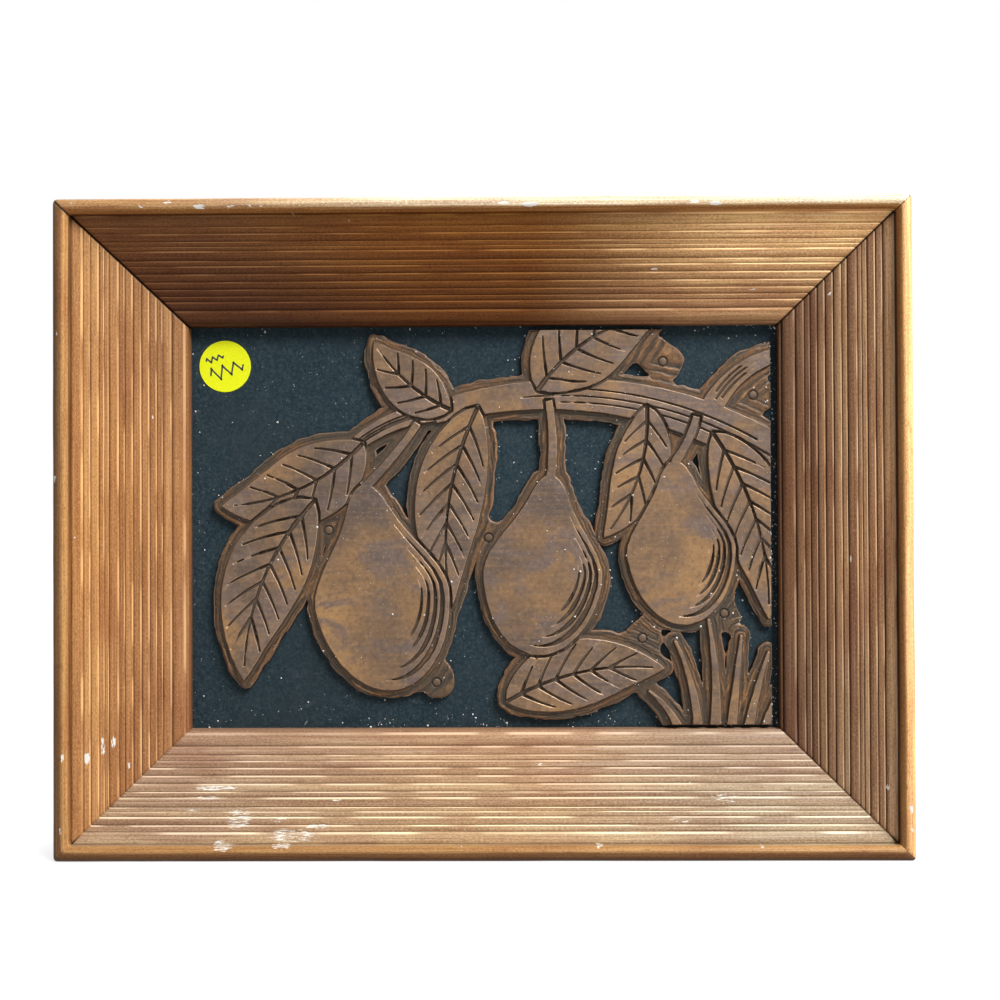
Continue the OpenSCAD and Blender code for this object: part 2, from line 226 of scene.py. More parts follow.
def ramp(tree, value, stops):
    made = add(tree, "ShaderNodeValToRGB", Fac=value)
    line = made.color_ramp
    while len(line.elements) < len(stops):
        line.elements.new(1)
    for element, (place, colour) in zip(line.elements, stops):
        element.position = place
        element.color = (*colour, 1)
    return made.outputs["Color"]


def finished(material, colour, roughness, bumps, specular=0.5, metallic=0.0):
    """The material with its colour, its gloss and its bumps: height, strength and distance"""
    tree = material.node_tree
    shader = tree.nodes["Principled BSDF"]
    put(tree, shader.inputs["Base Color"], colour)
    put(tree, shader.inputs["Roughness"], roughness)
    put(tree, shader.inputs["Specular IOR Level"], specular)
    put(tree, shader.inputs["Metallic"], metallic)
    below = None
    for height, strength, distance in bumps:
        made = add(tree, "ShaderNodeBump", Height=height, Strength=strength, Distance=distance * MM)
        if below is not None:
            tree.links.new(below, made.inputs["Normal"])
        below = made.outputs["Normal"]
    tree.links.new(below, shader.inputs["Normal"])
    return material


# Rails

bead_w = 5.2
slope_top = 33.5
slope_end = 15.6
reed_foot = 0.2
reed_rise = 0.14
reed_fullness = 3
rabbet_w = 6
nose_w = 0.6
reed_widths = [3.8, 2.1, 2.6, 1.6, 1.3, 3.2, 1.7, 2.6, 2.6, 2.5, 2.3, 1.8, 2.9, 4.6]
slope_w = rail_w - nose_w - bead_w
reed_scale = slope_w / sum(reed_widths)
side_steps = 9
bead_steps = 16
reed_steps = 12
# How far the back lies behind the rails' true back, and the round of its outer edge
back_relief = 0.12
back_round = 0.5
# How far the bead's inner side goes past the slope, across and down
quirk = (0.02, 0.35)
# Points of the lip: in from the sight edge, and up from the rabbet's seat or down from the slope's end
lip_round = [(0.28, 0.12), (0.06, 0.35)]
stain_reach = 5
widest_gap = 0.22
# How far the face is let in under the CAD rail, and how its waves, its mitres and its chips change it
face_inset = 0.12
wave_rise, ripple_rise = 0.1, 0.05
mitre_drop, mitre_drop_reach = 0.38, 1.1
corner_round, corner_reach = 0.4, 1.6
chip_depth = 0.22
side_tint = (0.62, 0.52, 0.45)

# Numbers of the section's parts
side_part, bead_part, reed_part = 0, 1, 2
lip_part = reed_part + len(reed_widths)
back_part = lip_part + 1


def slope_at(u):
    return slope_top + (slope_end - slope_top) * (u - bead_w) / slope_w


def rail_section():
    """Points of the section: across, height above the wall side, flank, part.

    The flank falls from 1 at a reed's outer edge, over 0 on its crest, to -1 at its inner edge."""
    section = [(back_round, back_relief, 0, side_part), (0, back_relief + back_round, 0, side_part)]
    for k in range(1, side_steps):
        section.append((0, (frame_d - bead_w / 2) * k / side_steps, 0, side_part))
    for k in range(bead_steps + 1):
        turn = math.pi * k / bead_steps
        flank = -math.sqrt(1 - min(1, 2.2 * math.sin(turn)) ** 2) if k > bead_steps / 2 else 0
        u = bead_w / 2 * (1 - math.cos(turn))
        section.append((u, frame_d - bead_w / 2 * (1 - math.sin(turn)), flank, bead_part))
    section.append((bead_w + quirk[0], slope_at(bead_w) - quirk[1], -1, bead_part))
    start = bead_w
    for part, width in enumerate(reed_widths, reed_part):
        width *= reed_scale
        for k in range(0 if part == reed_part else 1, reed_steps + 1):
            flank = math.cos(math.pi * k / reed_steps)
            u = start + width * (1 - flank) / 2
            crown = reed_foot + reed_rise * width * (1 - abs(flank) ** reed_fullness)
            section.append((u, slope_at(u) + crown, flank, part))
        start += width
    section[-1] = (rail_w - nose_w, slope_end, 0, lip_part)
    section += [(rail_w - inward, slope_end - down, 0, lip_part) for inward, down in lip_round]
    section += [
        (rail_w, slope_end - nose_w, 0.6, lip_part),
        (rail_w, (slope_end + block_front) / 2, 0.92, lip_part),
        (rail_w, block_front, 1, lip_part),
        (rail_w - rabbet_w, block_front, 0, back_part),
        (rail_w - rabbet_w, back_relief, 0, back_part),
        ((rail_w - rabbet_w) / 2, back_relief, 0, back_part),
        (stain_reach, back_relief, 0, back_part),
    ]
    return section


def rail_stations(run):
    """Distances of the rings from the middle, as shares of the half run, closer near the mitres"""
    half = run / 2
    near = [0, 0.3, 0.7, 1.2, 2, 3.2]
    inner = np.linspace(-1 + 5 / half, 1 - 5 / half, int(run / 2))
    return np.array(sorted([-1 + d / half for d in near] + list(inner) + [1 - d / half for d in near]))


def wear_at(marks, along, across):
    """Strength of the chips and scuffs at points of a rail"""
    worn = np.zeros(np.shape(along))
    for place, start, length, width, strength in marks:
        near = np.hypot((along - place) / (length / 2), (across - start) / (width / 2))
        worn = np.maximum(worn, strength * (1 - ease(0.5, 1.3, near)))
    return worn


def rail_tint(finish, stations, u, flank, part):
    """Stain at each point of a rail, with painted light and shade, as shares of the wood's colour"""
    slope, across, bead, inner, edge = (
        np.array(finish[key]) for key in ("slope", "across", "bead", "inner", "edge"))
    to_middle, to_last, along_bead = (
        ease(low, high, stations)[:, None, None] for low, high in ((-0.75, -0.1), (0.1, 0.8), (-0.85, 0)))
    u, flank, part = (values[None, :, None] for values in (u, flank, part))
    tint = slope[0] + (slope[1] - slope[0]) * to_middle + (slope[2] - slope[1]) * to_last
    tint = tint * (across[0] + (across[1] - across[0]) * np.clip((u - 11) / 24, 0, 1))
    # Painted light and shade on the bead: lighter or darker by the side it faces, its inner side apart, and
    # its outer edge darker as painted shade
    bead_light_and_shade = bead[0] + (bead[1] - bead[0]) * along_bead
    bead_light_and_shade = bead_light_and_shade + (inner - bead_light_and_shade) * ease(bead_w * 0.6, bead_w * 0.8, u)
    tint = np.where((part == bead_part) & (flank > -1), bead_light_and_shade, tint)
    tint = tint * (1 + (edge - 1) * (part == bead_part) * (1 - ease(0.4, 1.7, u)))
    return np.where(part == side_part, side_tint, tint)


def make_rail(name, turn, run, reach, marks, seed, material):
    """A mitred rail, swept along the top and then turned about the middle of the frame"""
    finish = rail_finish_and_light[name]
    u, t, flank, part = (np.array(column, float) for column in zip(*rail_section()))
    stations = rail_stations(run)
    front = (part > side_part) & (part < back_part) & (t > block_front + 1)
    reeded = (part >= reed_part) & (part < lip_part)
    gap = np.where(stations < 0, *finish["gaps"])[:, None]
    half = run / 2 - u - gap * front
    along = stations[:, None] * half
    to_end = half - np.abs(along)

    def spread(values):
        return np.broadcast_to(values, along.shape)

    across, height = spread(u), spread(t)
    wave = wave_rise * value_noise(along, across * 3, 24, seed)
    wave = wave + ripple_rise * value_noise(along, across * 6, 7, seed + 1)
    worn = wear_at(marks, along, across) * (part < back_part)
    rounding = mitre_drop * (1 - ease(0, mitre_drop_reach, to_end)) ** 2
    dents = chip_depth * worn * ease(0, 0.6, value_noise(along, across, 1.6, seed + 2))
    inside = ease(back_relief, slope_end - 1, height)
    height = height + front * inside * (wave - face_inset - rounding - dents)
    corner = (part <= bead_part) * corner_round * (1 - ease(0, corner_reach, to_end)) ** 2
    z = reach - across - corner
    cos, sin = math.cos(math.radians(turn)), math.sin(math.radians(turn))
    points = np.stack(in_frame(along * cos + z * sin, height, z * cos - along * sin), -1).reshape(-1, 3)
    unrolled = np.concatenate([[0], np.cumsum(np.hypot(np.diff(u), np.diff(t)))])
    # Painted light on the reeds: a light line along one flank of each reed as a painted highlight, varied
    # along the rail by glint, and painted shade on the other flank and in the grooves
    glint = 0.15 + 0.85 * ease(-0.5, 0.4, value_noise(along, spread(part * 9), 11, seed + 4))
    lit = reeded * flank * finish["lit"]
    valley = np.abs(flank)
    groove = np.maximum(ease(0.58, 0.93, -lit) * finish["shade"], ease(0.88, 1, valley) * finish["groove"])
    joint_reach = np.where(part <= bead_part, 1.1, 0.7)
    attributes = {
        "grain": np.stack([spread(unrolled), along, spread(seed * 7)], -1),
        "valley": valley,
        "groove": groove,
        "lit": lit,
        "reed": np.random.default_rng(seed).uniform(0, 1, 20)[part.astype(int)],
        "wear": worn,
        "crest": reeded * glint * finish["crest"],
        "mitre": (1 - ease(0, 1, to_end / joint_reach)) * (0.3 + 0.7 * gap / widest_gap),
        "bare": part == back_part,
        "tint": rail_tint(finish, stations, u, flank, part),
    }
    for key, values in attributes.items():
        attributes[key] = values.reshape(-1, 3) if np.ndim(values) == 3 else spread(values).ravel()
    piece = make_piece(name, points.tolist(), tube_faces(*along.shape), material, attributes=attributes)
    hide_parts(name)


# Chips and scuffs of each rail: along it, across it from the outer edge, length, width, strength.
# Along runs right on the top rail, left on the bottom one, up on the left one and down on the right one.
# A strength over 1.2 is a clean chip, and a lesser one a scuff in streaks.
top_marks = [
    (-118, 3.3, 2.5, 1.6, 1.4), (-108.5, 1.8, 4, 2.4, 1.15), (-97.2, 3.4, 5.5, 2.2, 1.5),
    (-86.4, 3.4, 3, 1.4, 1.4), (-79.5, 3.3, 3, 1.2, 1.3), (-76, 3.2, 2, 1.2, 1.3), (8, 2.8, 6, 1.8, 1.4),
    (17, 3.3, 8, 2.2, 1.5), (26, 3.1, 3, 1.4, 1.3), (74, 2.8, 5, 1.8, 1.4), (81, 3.3, 6, 2.2, 1.45),
    (147, 1.5, 4, 3, 1.5), (-65.2, 5.6, 3, 1.6, 1.15), (61.5, 23, 3.5, 2, 1.15), (-46.8, 7.4, 3, 1.2, 1.1),
    (-142, 2, 5, 3, 1), (110, 2.4, 3, 1.4, 1.2), (47, 3.4, 2, 1, 1.3), (-30, 14, 3, 1.2, 0.95),
    (97, 30, 4, 1.4, 0.98),
]
bottom_marks = [
    (95, 22.6, 21, 2.6, 1.12), (98, 19.4, 13, 1.8, 1.05), (86, 13, 13, 10, 1), (90, 5.6, 11, 5, 1.04),
    (67, 8, 28, 6, 1), (72, 12.8, 9, 3, 0.98), (70, 5, 10, 2, 1.08), (58, 10.6, 12, 2, 1.1),
    (52, 19, 7, 3, 0.95), (103, 15.5, 6, 1.4, 1), (-147.6, 2.6, 2.4, 2.4, 1.5), (-40, 5.2, 4, 1.6, 1.1),
    (8, 5.4, 3, 1.4, 1), (-85, 19, 14, 5, 0.94), (-69, 12.5, 14, 4, 0.94), (-96, 4.8, 4, 1.6, 1.05),
    (-20, 30, 5, 1.6, 0.95), (-72, 24, 6, 1.6, 0.96),
]
left_marks = [
    (-75.5, 17.9, 6, 1.8, 1.35), (-80.4, 9.9, 6, 2.4, 1.4), (-78.7, 3.8, 5, 1.4, 1.25),
    (-76.5, 14.6, 10, 2.4, 1.02), (-84, 22.6, 5, 1.4, 1.12), (68, 2.1, 3.5, 1.2, 1.3),
    (17.6, 1.2, 3.5, 1.8, 1.35), (-3, 6.5, 4, 1.4, 1.05), (40, 30, 4, 1.2, 0.98), (-104, 3, 4, 2, 1.1),
]
right_marks = [
    (-82.8, 25, 3, 2, 1.2), (90.8, 8.3, 4, 2, 1.2), (96.7, 2.3, 5, 2, 1.3), (104, 2, 4, 2, 1.15),
    (-30, 2, 4, 1.4, 1), (12, 19, 5, 1.4, 0.98),
]


def wood_material():
    material, tree, _ = new_material("stained_reeded_wood")
    grain = attribute(tree, "grain", "Vector")

    def grained(across, along, detail, roughness):
        """Noise drawn out along the grain"""
        return noise(tree, stretched(tree, grain, (across, along, 1)), 1, detail, roughness)

    wide = grained(0.75, 0.012, 3, 0.55)
    streak = grained(2.4, 0.03, 4, 0.65)
    dash = grained(3.2, 0.24, 3, 0.6)
    shine = grained(4.5, 0.014, 2, 0.5)
    fleck = grained(2.6, 1, 4, 0.7)
    blot = grained(0.8, 0.22, 4, 0.65)
    level = sums(tree, "ADD", times(tree, wide, 0.42), times(tree, streak, 0.42))
    level = sums(tree, "ADD", level, times(tree, attribute(tree, "reed"), 0.16))
    colour = ramp(tree, level, [
        (0.36, (0.255, 0.105, 0.034)),
        (0.46, (0.365, 0.17, 0.058)),
        (0.55, (0.465, 0.236, 0.082)),
        (0.66, (0.62, 0.35, 0.128)),
    ])
    colour = layered(tree, colour, [
        (dash, (0.56, 0.7, 0, 0.32), (0.13, 0.05, 0.017)),
        (fleck, (0.5, 0.62, 0, 0.38), (0.17, 0.07, 0.025)),
        (fleck, (0.5, 0.38, 0, 0.32), (0.72, 0.44, 0.2)),
        (blot, (0.55, 0.68, 0, 0.45), (0.2, 0.082, 0.032)),
    ])
    # Painted highlight: cream streaks on the reeds' crests stand in for the varnish's sheen
    ridge = between(tree, attribute(tree, "valley"), 0.9, 0.2, 0, 0.22)
    colour = mixed(tree, times(tree, between(tree, shine, 0.54, 0.66), ridge), colour, (0.86, 0.62, 0.36))
    # Painted shade: the grooves and the shaded flanks darkened nearly to black
    depth = between(tree, grained(0.4, 0.02, 2, 0.5), 0.38, 0.62, 0.62, 1)
    colour = mixed(tree, times(tree, attribute(tree, "groove"), depth), colour, (0.06, 0.023, 0.009))
    # Painted highlight: a thin light line along the lit flank of each reed, as strong as its crest number
    lit = attribute(tree, "lit")
    line = times(tree, between(tree, lit, 0.54, 0.72), between(tree, lit, 0.9, 0.99, 1, 0))
    colour = mixed(tree, times(tree, line, attribute(tree, "crest")), colour, (0.9, 0.56, 0.245))
    redder = mixed(tree, 1, colour, (0.74, 0.6, 0.62), "MULTIPLY")
    colour = layered(tree, colour, [(grained(0.07, 0.022, 3, 0.55), (0.48, 0.68, 0, 0.5), redder)])
    colour = mixed(tree, 1, colour, attribute(tree, "tint", "Vector"), "MULTIPLY")
    raw = ramp(tree, streak, [(0.35, (0.36, 0.22, 0.12)), (0.6, (0.56, 0.38, 0.22))])
    stain_end = sums(tree, "ADD", attribute(tree, "bare"), times(tree, dash, 0.5))
    chip = times(tree, attribute(tree, "wear"), grained(2.2, 0.22, 3, 0.7))
    colour = layered(tree, colour, [
        (stain_end, (0.55, 0.95), raw),
        (attribute(tree, "mitre"), (0.35, 0.8, 0, 0.92), (0.012, 0.006, 0.004)),
        (chip, (0.52, 0.55), (0.84, 0.8, 0.73)),
    ])
    gloss = between(tree, streak, 0.35, 0.65, 0.36, 0.52)
    return finished(material, colour, gloss, [(fleck, 0.25, 0.15), (streak, 0.2, 0.25)], specular=0.12)


# Finish of each rail. The tints are shares of the wood's colour: on the slope at its first end, middle
# and last end, on the outer and inner reeds, on the bead at its first end and from its middle on, and on
# the bead's inner side and outer edge. Besides the stain they hold painted light and shade: each rail and
# its bead lighter or darker by the way it faces the light, the top bead's cream a painted highlight and the
# darker outer edges of the beads painted shade. Lit is the side of each reed with a painted light line, 1 for
# the outer one, and crest its strength. Shade is the strength of the painted dark lines on the other side,
# the groove number that of the painted shade in the grooves, and the gaps of the mitres are in millimetres.
rail_finish_and_light = {
    "rail_top": {
        "slope": ((0.36, 0.325, 0.41), (0.5, 0.41, 0.3), (1.74, 2.35, 3.75)),
        "across": ((1.42, 1.25, 0.93), (0.61, 0.46, 0.36)),
        "bead": ((1.2, 1.3, 1.5), (2.15, 3.5, 6.2)),
        "inner": (1.15, 1.05, 0.85), "edge": (1, 1, 1),
        "lit": 1, "crest": 0.75, "shade": 0.35, "groove": 0.4, "gaps": (0.22, 0.16),
    },
    "rail_bottom": {
        "slope": ((0.85, 1.18, 1.95), (1.01, 1.25, 1.8), (0.94, 1.21, 1.94)),
        "across": ((1.14, 1.18, 1.18), (0.83, 0.75, 0.77)),
        "bead": ((0.36, 0.31, 0.32), (0.36, 0.31, 0.32)),
        "inner": (0.9, 0.9, 0.9), "edge": (0.6, 0.5, 0.4),
        "lit": -1, "crest": 1, "shade": 0.38, "groove": 0.35, "gaps": (0.08, 0.03),
    },
    "rail_left": {
        "slope": ((0.98, 0.97, 1.1), (0.97, 0.94, 1), (0.87, 0.88, 1)),
        "across": ((1.12, 1.05, 0.92), (0.9, 0.84, 0.82)),
        "bead": ((0.43, 0.395, 0.42), (0.43, 0.395, 0.42)),
        "inner": (1, 0.95, 0.9), "edge": (0.5, 0.42, 0.36),
        "lit": -1, "crest": 0.75, "shade": 0.7, "groove": 0.75, "gaps": (0.03, 0.22),
    },
    "rail_right": {
        "slope": ((0.72, 0.8, 1.14), (0.76, 0.79, 1.05), (0.75, 0.84, 1.22)),
        "across": ((1.36, 1.36, 1.33), (0.68, 0.63, 0.63)),
        "bead": ((2.05, 2.15, 2.4), (2.05, 2.15, 2.4)),
        "inner": (0.8, 0.72, 0.65), "edge": (1, 1, 1),
        "lit": 1, "crest": 0.75, "shade": 1.3, "groove": 1.3, "gaps": (0.16, 0.08),
    },
}


def make_rails():
    wood = wood_material()
    for name, turn, run, reach, marks, seed in (
        ("rail_top", 0, outer_w, outer_h / 2, top_marks, 3),
        ("rail_bottom", 180, outer_w, outer_h / 2, bottom_marks, 5),
        ("rail_left", -90, outer_h, outer_w / 2, left_marks, 8),
        ("rail_right", 90, outer_h, outer_w / 2, right_marks, 13),
    ):
        make_rail(name, turn, run, reach, marks, seed, wood)


# Relief drawing of the plate, in millimetres about the middle of the sight

# Each leaf: its base, its tip, its width and how far it bows
leaves = [
    ((-44, 31), (-96, 8), 27, 6),
    ((-62, 10), (-88, -56), 29, -7),
    ((20, 50), (66, 78), 30, 6),
    ((-12, 43), (-40, 68), 19, 3),
    ((-2, 44), (-12, -30), 25, -6),
    ((60, 44), (44, -4), 20, 5),
    ((84, 34), (104, -34), 25, 6),
    ((8, -64), (66, -52), 25, 5),
]
# Each fruit: its middle, its radius, its height, its tilt and where its stalk joins the branch
fruits = [
    ((-38, -22), 25, 76, 9, (-24, 38)),
    ((22, -14), 22, 66, -5, (24, 46)),
    ((72, -6), 20, 60, 4, (78, 40)),
]
# Each branch: its start, its bend, its end and its two widths
branches = [
    ((114, 20), (56, 62), (-18, 42), 17, 8),
    ((-14, 43), (-50, 40), (-66, 4), 7.5, 3),
    ((84, 44), (92, 58), (106, 62), 8, 5),
]
# Each blade of grass, as a branch
blades = [
    ((78, -76), (78, -60), (70, -42), 3.6, 0.8),
    ((84, -76), (86, -56), (82, -34), 4, 0.8),
    ((90, -76), (92, -58), (94, -40), 3.8, 0.8),
    ((96, -76), (99, -60), (104, -46), 3.6, 0.8),
    ((72, -76), (68, -66), (60, -60), 3.2, 0.8),
    ((102, -76), (104, -66), (108, -60), 3.2, 0.8),
]
# Round lands of shoulder left for the nails: across, up and radius
lands = [
    (-57, -1, 5), (-17.5, -57, 6), (1.8, -4, 5.5), (58, -41, 6.5),
    (99, 48, 7.5), (66, 60.5, 7), (88, -32, 6),
]
# Each shading line of a fruit: its size against the outline, its first and last turn and its width
shade_lines = [(0.9, 262, 400, 1.7), (0.8, 276, 384, 1.4), (0.7, 288, 372, 1.2), (0.6, 298, 362, 1)]
shade_tip_w = 0.2
shoulder_w = 3.2
clear_line = 1.2

# Shape of a leaf: where it is widest, how full it is, and its veins
leaf_lean = 0.8
leaf_fullness = 0.85
midrib_w = (1.7, 0.7)
midrib_run = 0.93
vein_w = (1.3, 0.6)
vein_spacing = 10.5
vein_first, vein_spread, vein_run = 0.1, 0.68, 0.17
vein_reach = 0.86
vein_bow = 0.1

# Shape of a fruit: its neck, as shares of its half height and radius, and its stalk
neck_drop, neck_run, neck_in = 0.15, 0.95, 0.52
stalk_root = 0.97
stalk_bow = (2, 0)
stalk_w = (3.2, 2.4)

# Each groove of the bark: its place across, in end widths of the branch, and its first and last share
bark_grooves = [(-0.264, 0.126, 0.712), (0.06, 0.075, 0.78), (0.36, 0.15, 0.68)]
bark_w = (0.9, 0.6)

# Numbers of steps along each shape
leaf_steps = 28
midrib_steps = 12
vein_steps = 5
fruit_steps = 56
stalk_steps = 8
shade_steps = 16
branch_steps = 24
bark_steps = 18
blade_steps = 10

# The grid on which distances are measured, how far out they are true and the value further out
grid_step = 0.25
grid_margin = 1.5
reach_out = 8
cut_reach = 1.5
far = 9.0
plate_bevel = 0.5

field_low = np.array([plate_low[0], plate_low[2] - centre_z])
field_high = np.array([plate_high[0], plate_high[2] - centre_z])
grid_x, grid_z = (
    np.arange(low - grid_margin, high + grid_margin, grid_step) for low, high in zip(field_low, field_high))


def vector(*numbers):
    return np.array(numbers, float)


def bend(a, b, c, s):
    a, b, c = vector(*a), vector(*b), vector(*c)
    return (1 - s) ** 2 * a + 2 * s * (1 - s) * b + s * s * c


def turned(way):
    """The direction square to a way, of length 1"""
    return np.array([-way[1], way[0]]) / np.linalg.norm(way)


def side_way(a, b, c, s):
    a, b, c = vector(*a), vector(*b), vector(*c)
    return turned((1 - s) * (b - a) + s * (c - b))


def strip(a, b, c, w0, w1, steps, s0=0.0, s1=1.0, aside=0.0):
    """A strip along a bent line, from one width to another"""
    sides = {1: [], -1: []}
    for k in range(steps + 1):
        s = s0 + (s1 - s0) * k / steps
        half = (w0 + (w1 - w0) * k / steps) / 2
        for side in sides:
            sides[side].append(bend(a, b, c, s) + side_way(a, b, c, s) * (aside + side * half))
    return sides[1] + sides[-1][::-1]


def leaf_mid(leaf):
    base, tip = vector(*leaf[0]), vector(*leaf[1])
    return (base + tip) / 2 + 2 * leaf[3] * turned(tip - base)


def leaf_point(leaf, s, share):
    half = leaf[2] / 2 * math.sin(math.pi * s ** leaf_lean) ** leaf_fullness if 0 < s < 1 else 0
    line = (leaf[0], leaf_mid(leaf), leaf[1], s)
    return bend(*line) + side_way(*line) * half * share


def leaf_shapes(leaf):
    """Outlines of a leaf and of the veins cut into it"""
    outline = [leaf_point(leaf, k / leaf_steps, 1) for k in range(leaf_steps + 1)]
    outline += [leaf_point(leaf, 1 - k / leaf_steps, -1) for k in range(1, leaf_steps)]
    cuts = [strip(leaf[0], leaf_mid(leaf), leaf[1], *midrib_w, midrib_steps, 0, midrib_run)]
    count = max(3, round(math.dist(leaf[0], leaf[1]) / vein_spacing))
    for k in range(count):
        s = vein_first + vein_spread * k / count
        start, below = leaf_point(leaf, s, 0), leaf_point(leaf, s + vein_run, 0)
        for side in (-1, 1):
            end = leaf_point(leaf, s + vein_run, vein_reach * side)
            mid = (start + end) / 2 - (below - end) * vein_bow
            cuts.append(strip(start, mid, end, *vein_w, vein_steps))
    return [outline], cuts


def fruit_point(fruit, turn, size=1.0):
    """A point of a fruit's outline, which narrows to its neck"""
    rise = math.sin(turn)
    neck = smooth(min(1, max(0, (rise + neck_drop) / neck_run)))
    x = fruit[1] * math.cos(turn) * (1 - neck_in * neck) * size
    z = fruit[2] / 2 * rise * size
    cos, sin = math.cos(math.radians(fruit[3])), math.sin(math.radians(fruit[3]))
    return vector(*fruit[0]) + (x * cos - z * sin, x * sin + z * cos)


def fruit_shapes(fruit):
    """Outlines of a fruit and its stalk, and of the shading lines cut into the fruit"""
    outline = [fruit_point(fruit, 2 * math.pi * k / fruit_steps) for k in range(fruit_steps)]
    top = fruit_point(fruit, math.pi / 2, stalk_root)
    stalk = strip(top, (top + vector(*fruit[4])) / 2 + stalk_bow, fruit[4], *stalk_w, stalk_steps)
    cuts = []
    for size, first, last, width in shade_lines:
        sides = {1: [], -1: []}
        for k in range(shade_steps + 1):
            turn = math.radians(first + (last - first) * k / shade_steps)
            half = (shade_tip_w + width * math.sin(math.pi * k / shade_steps)) / 2 / fruit[1]
            for side in sides:
                sides[side].append(fruit_point(fruit, turn, size + side * half))
        cuts.append(sides[1] + sides[-1][::-1])
    return [outline, stalk], cuts


def drawing_layers():
    """The outlines and cuts of each shape, from the hindmost to the one in front of all"""
    bark = [
        strip(a, b, c, *bark_w, bark_steps, first, last, aside * w1)
        for a, b, c, _, w1 in branches for aside, first, last in bark_grooves
    ]
    wood = [strip(*branch, branch_steps) for branch in branches]
    return [(wood, bark)] + [leaf_shapes(leaf) for leaf in leaves] + [fruit_shapes(fruit) for fruit in fruits]


def polygon_distance(points, reach):
    """Signed distance to a polygon, negative inside, over the part of the grid that lies near it"""
    points = np.asarray(points, float)
    low, high = points.min(0) - reach, points.max(0) + reach
    cols = slice(*np.searchsorted(grid_x, (low[0], high[0])))
    rows = slice(*np.searchsorted(grid_z, (low[1], high[1])))
    x, z = np.meshgrid(grid_x[cols], grid_z[rows])
    nearest = np.full(x.shape, np.inf)
    inside = np.zeros(x.shape, bool)
    for a, b in zip(points, np.roll(points, -1, 0)):
        way = b - a
        share = np.clip(((x - a[0]) * way[0] + (z - a[1]) * way[1]) / max(way @ way, 1e-12), 0, 1)
        nearest = np.minimum(nearest, (x - a[0] - share * way[0]) ** 2 + (z - a[1] - share * way[1]) ** 2)
        if way[1] != 0:
            crosses = (a[1] > z) != (b[1] > z)
            inside ^= crosses & (x < way[0] * (z - a[1]) / way[1] + a[0])
    return (rows, cols), np.where(inside, -1, 1) * np.sqrt(nearest)


def joined_distance(shapes, reach):
    """Distance to several polygons over the whole grid"""
    joined = np.full((len(grid_z), len(grid_x)), far)
    for shape in shapes:
        window, distance = polygon_distance(shape, reach)
        joined[window] = np.minimum(joined[window], distance)
    return joined


def blended(a, b, width):
    """The lesser of two distances, with a fillet where they meet"""
    share = np.clip(0.5 + (b - a) / (2 * width), 0, 1)
    return b * (1 - share) + a * share - width * share * (1 - share)


def drawn_distances(x, z):
    """Signed distances to the printing surface and to everything that the router left standing"""
    outlines = []
    relief = np.full(x.shape, far)
    for shapes, cuts in drawing_layers():
        outlines += shapes
        outer = joined_distance(shapes, reach_out)
        cut = joined_distance(cuts, cut_reach)
        relief = np.minimum(np.maximum(relief, clear_line - outer), np.maximum(outer, -cut))
    grass = [strip(*blade, blade_steps) for blade in blades]
    relief = np.minimum(relief, joined_distance(grass, reach_out))
    standing = joined_distance(outlines + grass, reach_out) - shoulder_w
    for land_x, land_z, radius in lands:
        land = np.hypot(x - land_x, z - land_z) - radius - 1.5 * value_noise(x, z, 6, 27)
        standing = blended(standing, land, 3.5)
    return relief, standing


def plate_fields():
    """The two distances with the wobble of hand work, kept inside the plate's straight edges"""
    x, z = np.meshgrid(grid_x, grid_z)
    relief, standing = drawn_distances(x, z)
    wobble = 0.09 * value_noise(x, z, 2.6, 21) + 0.05 * value_noise(x, z, 1, 22)
    rough = ease(0.1, 0.5, value_noise(x, z, 16, 23))
    relief = relief + wobble * (0.6 + 1.4 * rough)
    standing = standing + 0.55 * value_noise(x, z, 6, 24) + 0.3 * value_noise(x, z, 1.9, 25)
    edge = np.maximum.reduce([field_low[0] - x, x - field_high[0], field_low[1] - z, z - field_high[1]])
    edge = edge + 0.05 + 0.05 * value_noise(x, z, 5, 26)
    return np.maximum(relief, edge + plate_bevel), np.maximum(standing, edge)


def sampled(field, x, z):
    """A field's values at points, between those of the grid"""
    across = (np.asarray(x) - grid_x[0]) / grid_step
    down = (np.asarray(z) - grid_z[0]) / grid_step
    col = np.clip(across.astype(int), 0, len(grid_x) - 2)
    row = np.clip(down.astype(int), 0, len(grid_z) - 2)
    return looked_up(field, row, col, down - row, across - col)


# Sides of a grid square, as steps to their first corner and whether they stand upright, and the sides that a
# line joins for each set of corners above its level
square_sides = ((0, 0, 0), (0, 1, 1), (1, 0, 0), (0, 0, 1))
crossings = (
    (), ((3, 0),), ((0, 1),), ((3, 1),), ((1, 2),), ((3, 0), (1, 2)), ((0, 2),), ((3, 2),),
    ((2, 3),), ((2, 0),), ((0, 1), (2, 3)), ((2, 1),), ((1, 3),), ((1, 0),), ((0, 3),), (),
)


def contour_lines(field, level):
    """Closed or open lines along which a field has a level, as lists of points"""
    above = field > level
    code = above[:-1, :-1] * 1 + above[:-1, 1:] * 2 + above[1:, 1:] * 4 + above[1:, :-1] * 8

    def edge_point(key):
        i, j, upright = key
        k, m = (i + 1, j) if upright else (i, j + 1)
        share = (level - field[i, j]) / (field[k, m] - field[i, j])
        return (grid_x[j] + grid_step * share * (not upright), grid_z[i] + grid_step * share * upright)

    links = {}
    for i, j in zip(*np.nonzero((code > 0) & (code < 15))):
        for pair in crossings[int(code[i, j])]:
            a, b = ((i + square_sides[s][0], j + square_sides[s][1], square_sides[s][2]) for s in pair)
            links.setdefault(a, []).append(b)
            links.setdefault(b, []).append(a)
    lines = []
    while links:
        start = next((k for k, v in links.items() if len(v) == 1), None) or next(iter(links))
        line = [start]
        while links.get(line[-1]):
            after = links[line[-1]].pop()
            links[after].remove(line[-1])
            if not links[line[-1]]:
                del links[line[-1]]
            line.append(after)
        links.pop(line[-1], None)
        lines.append([edge_point(key) for key in line])
    return lines


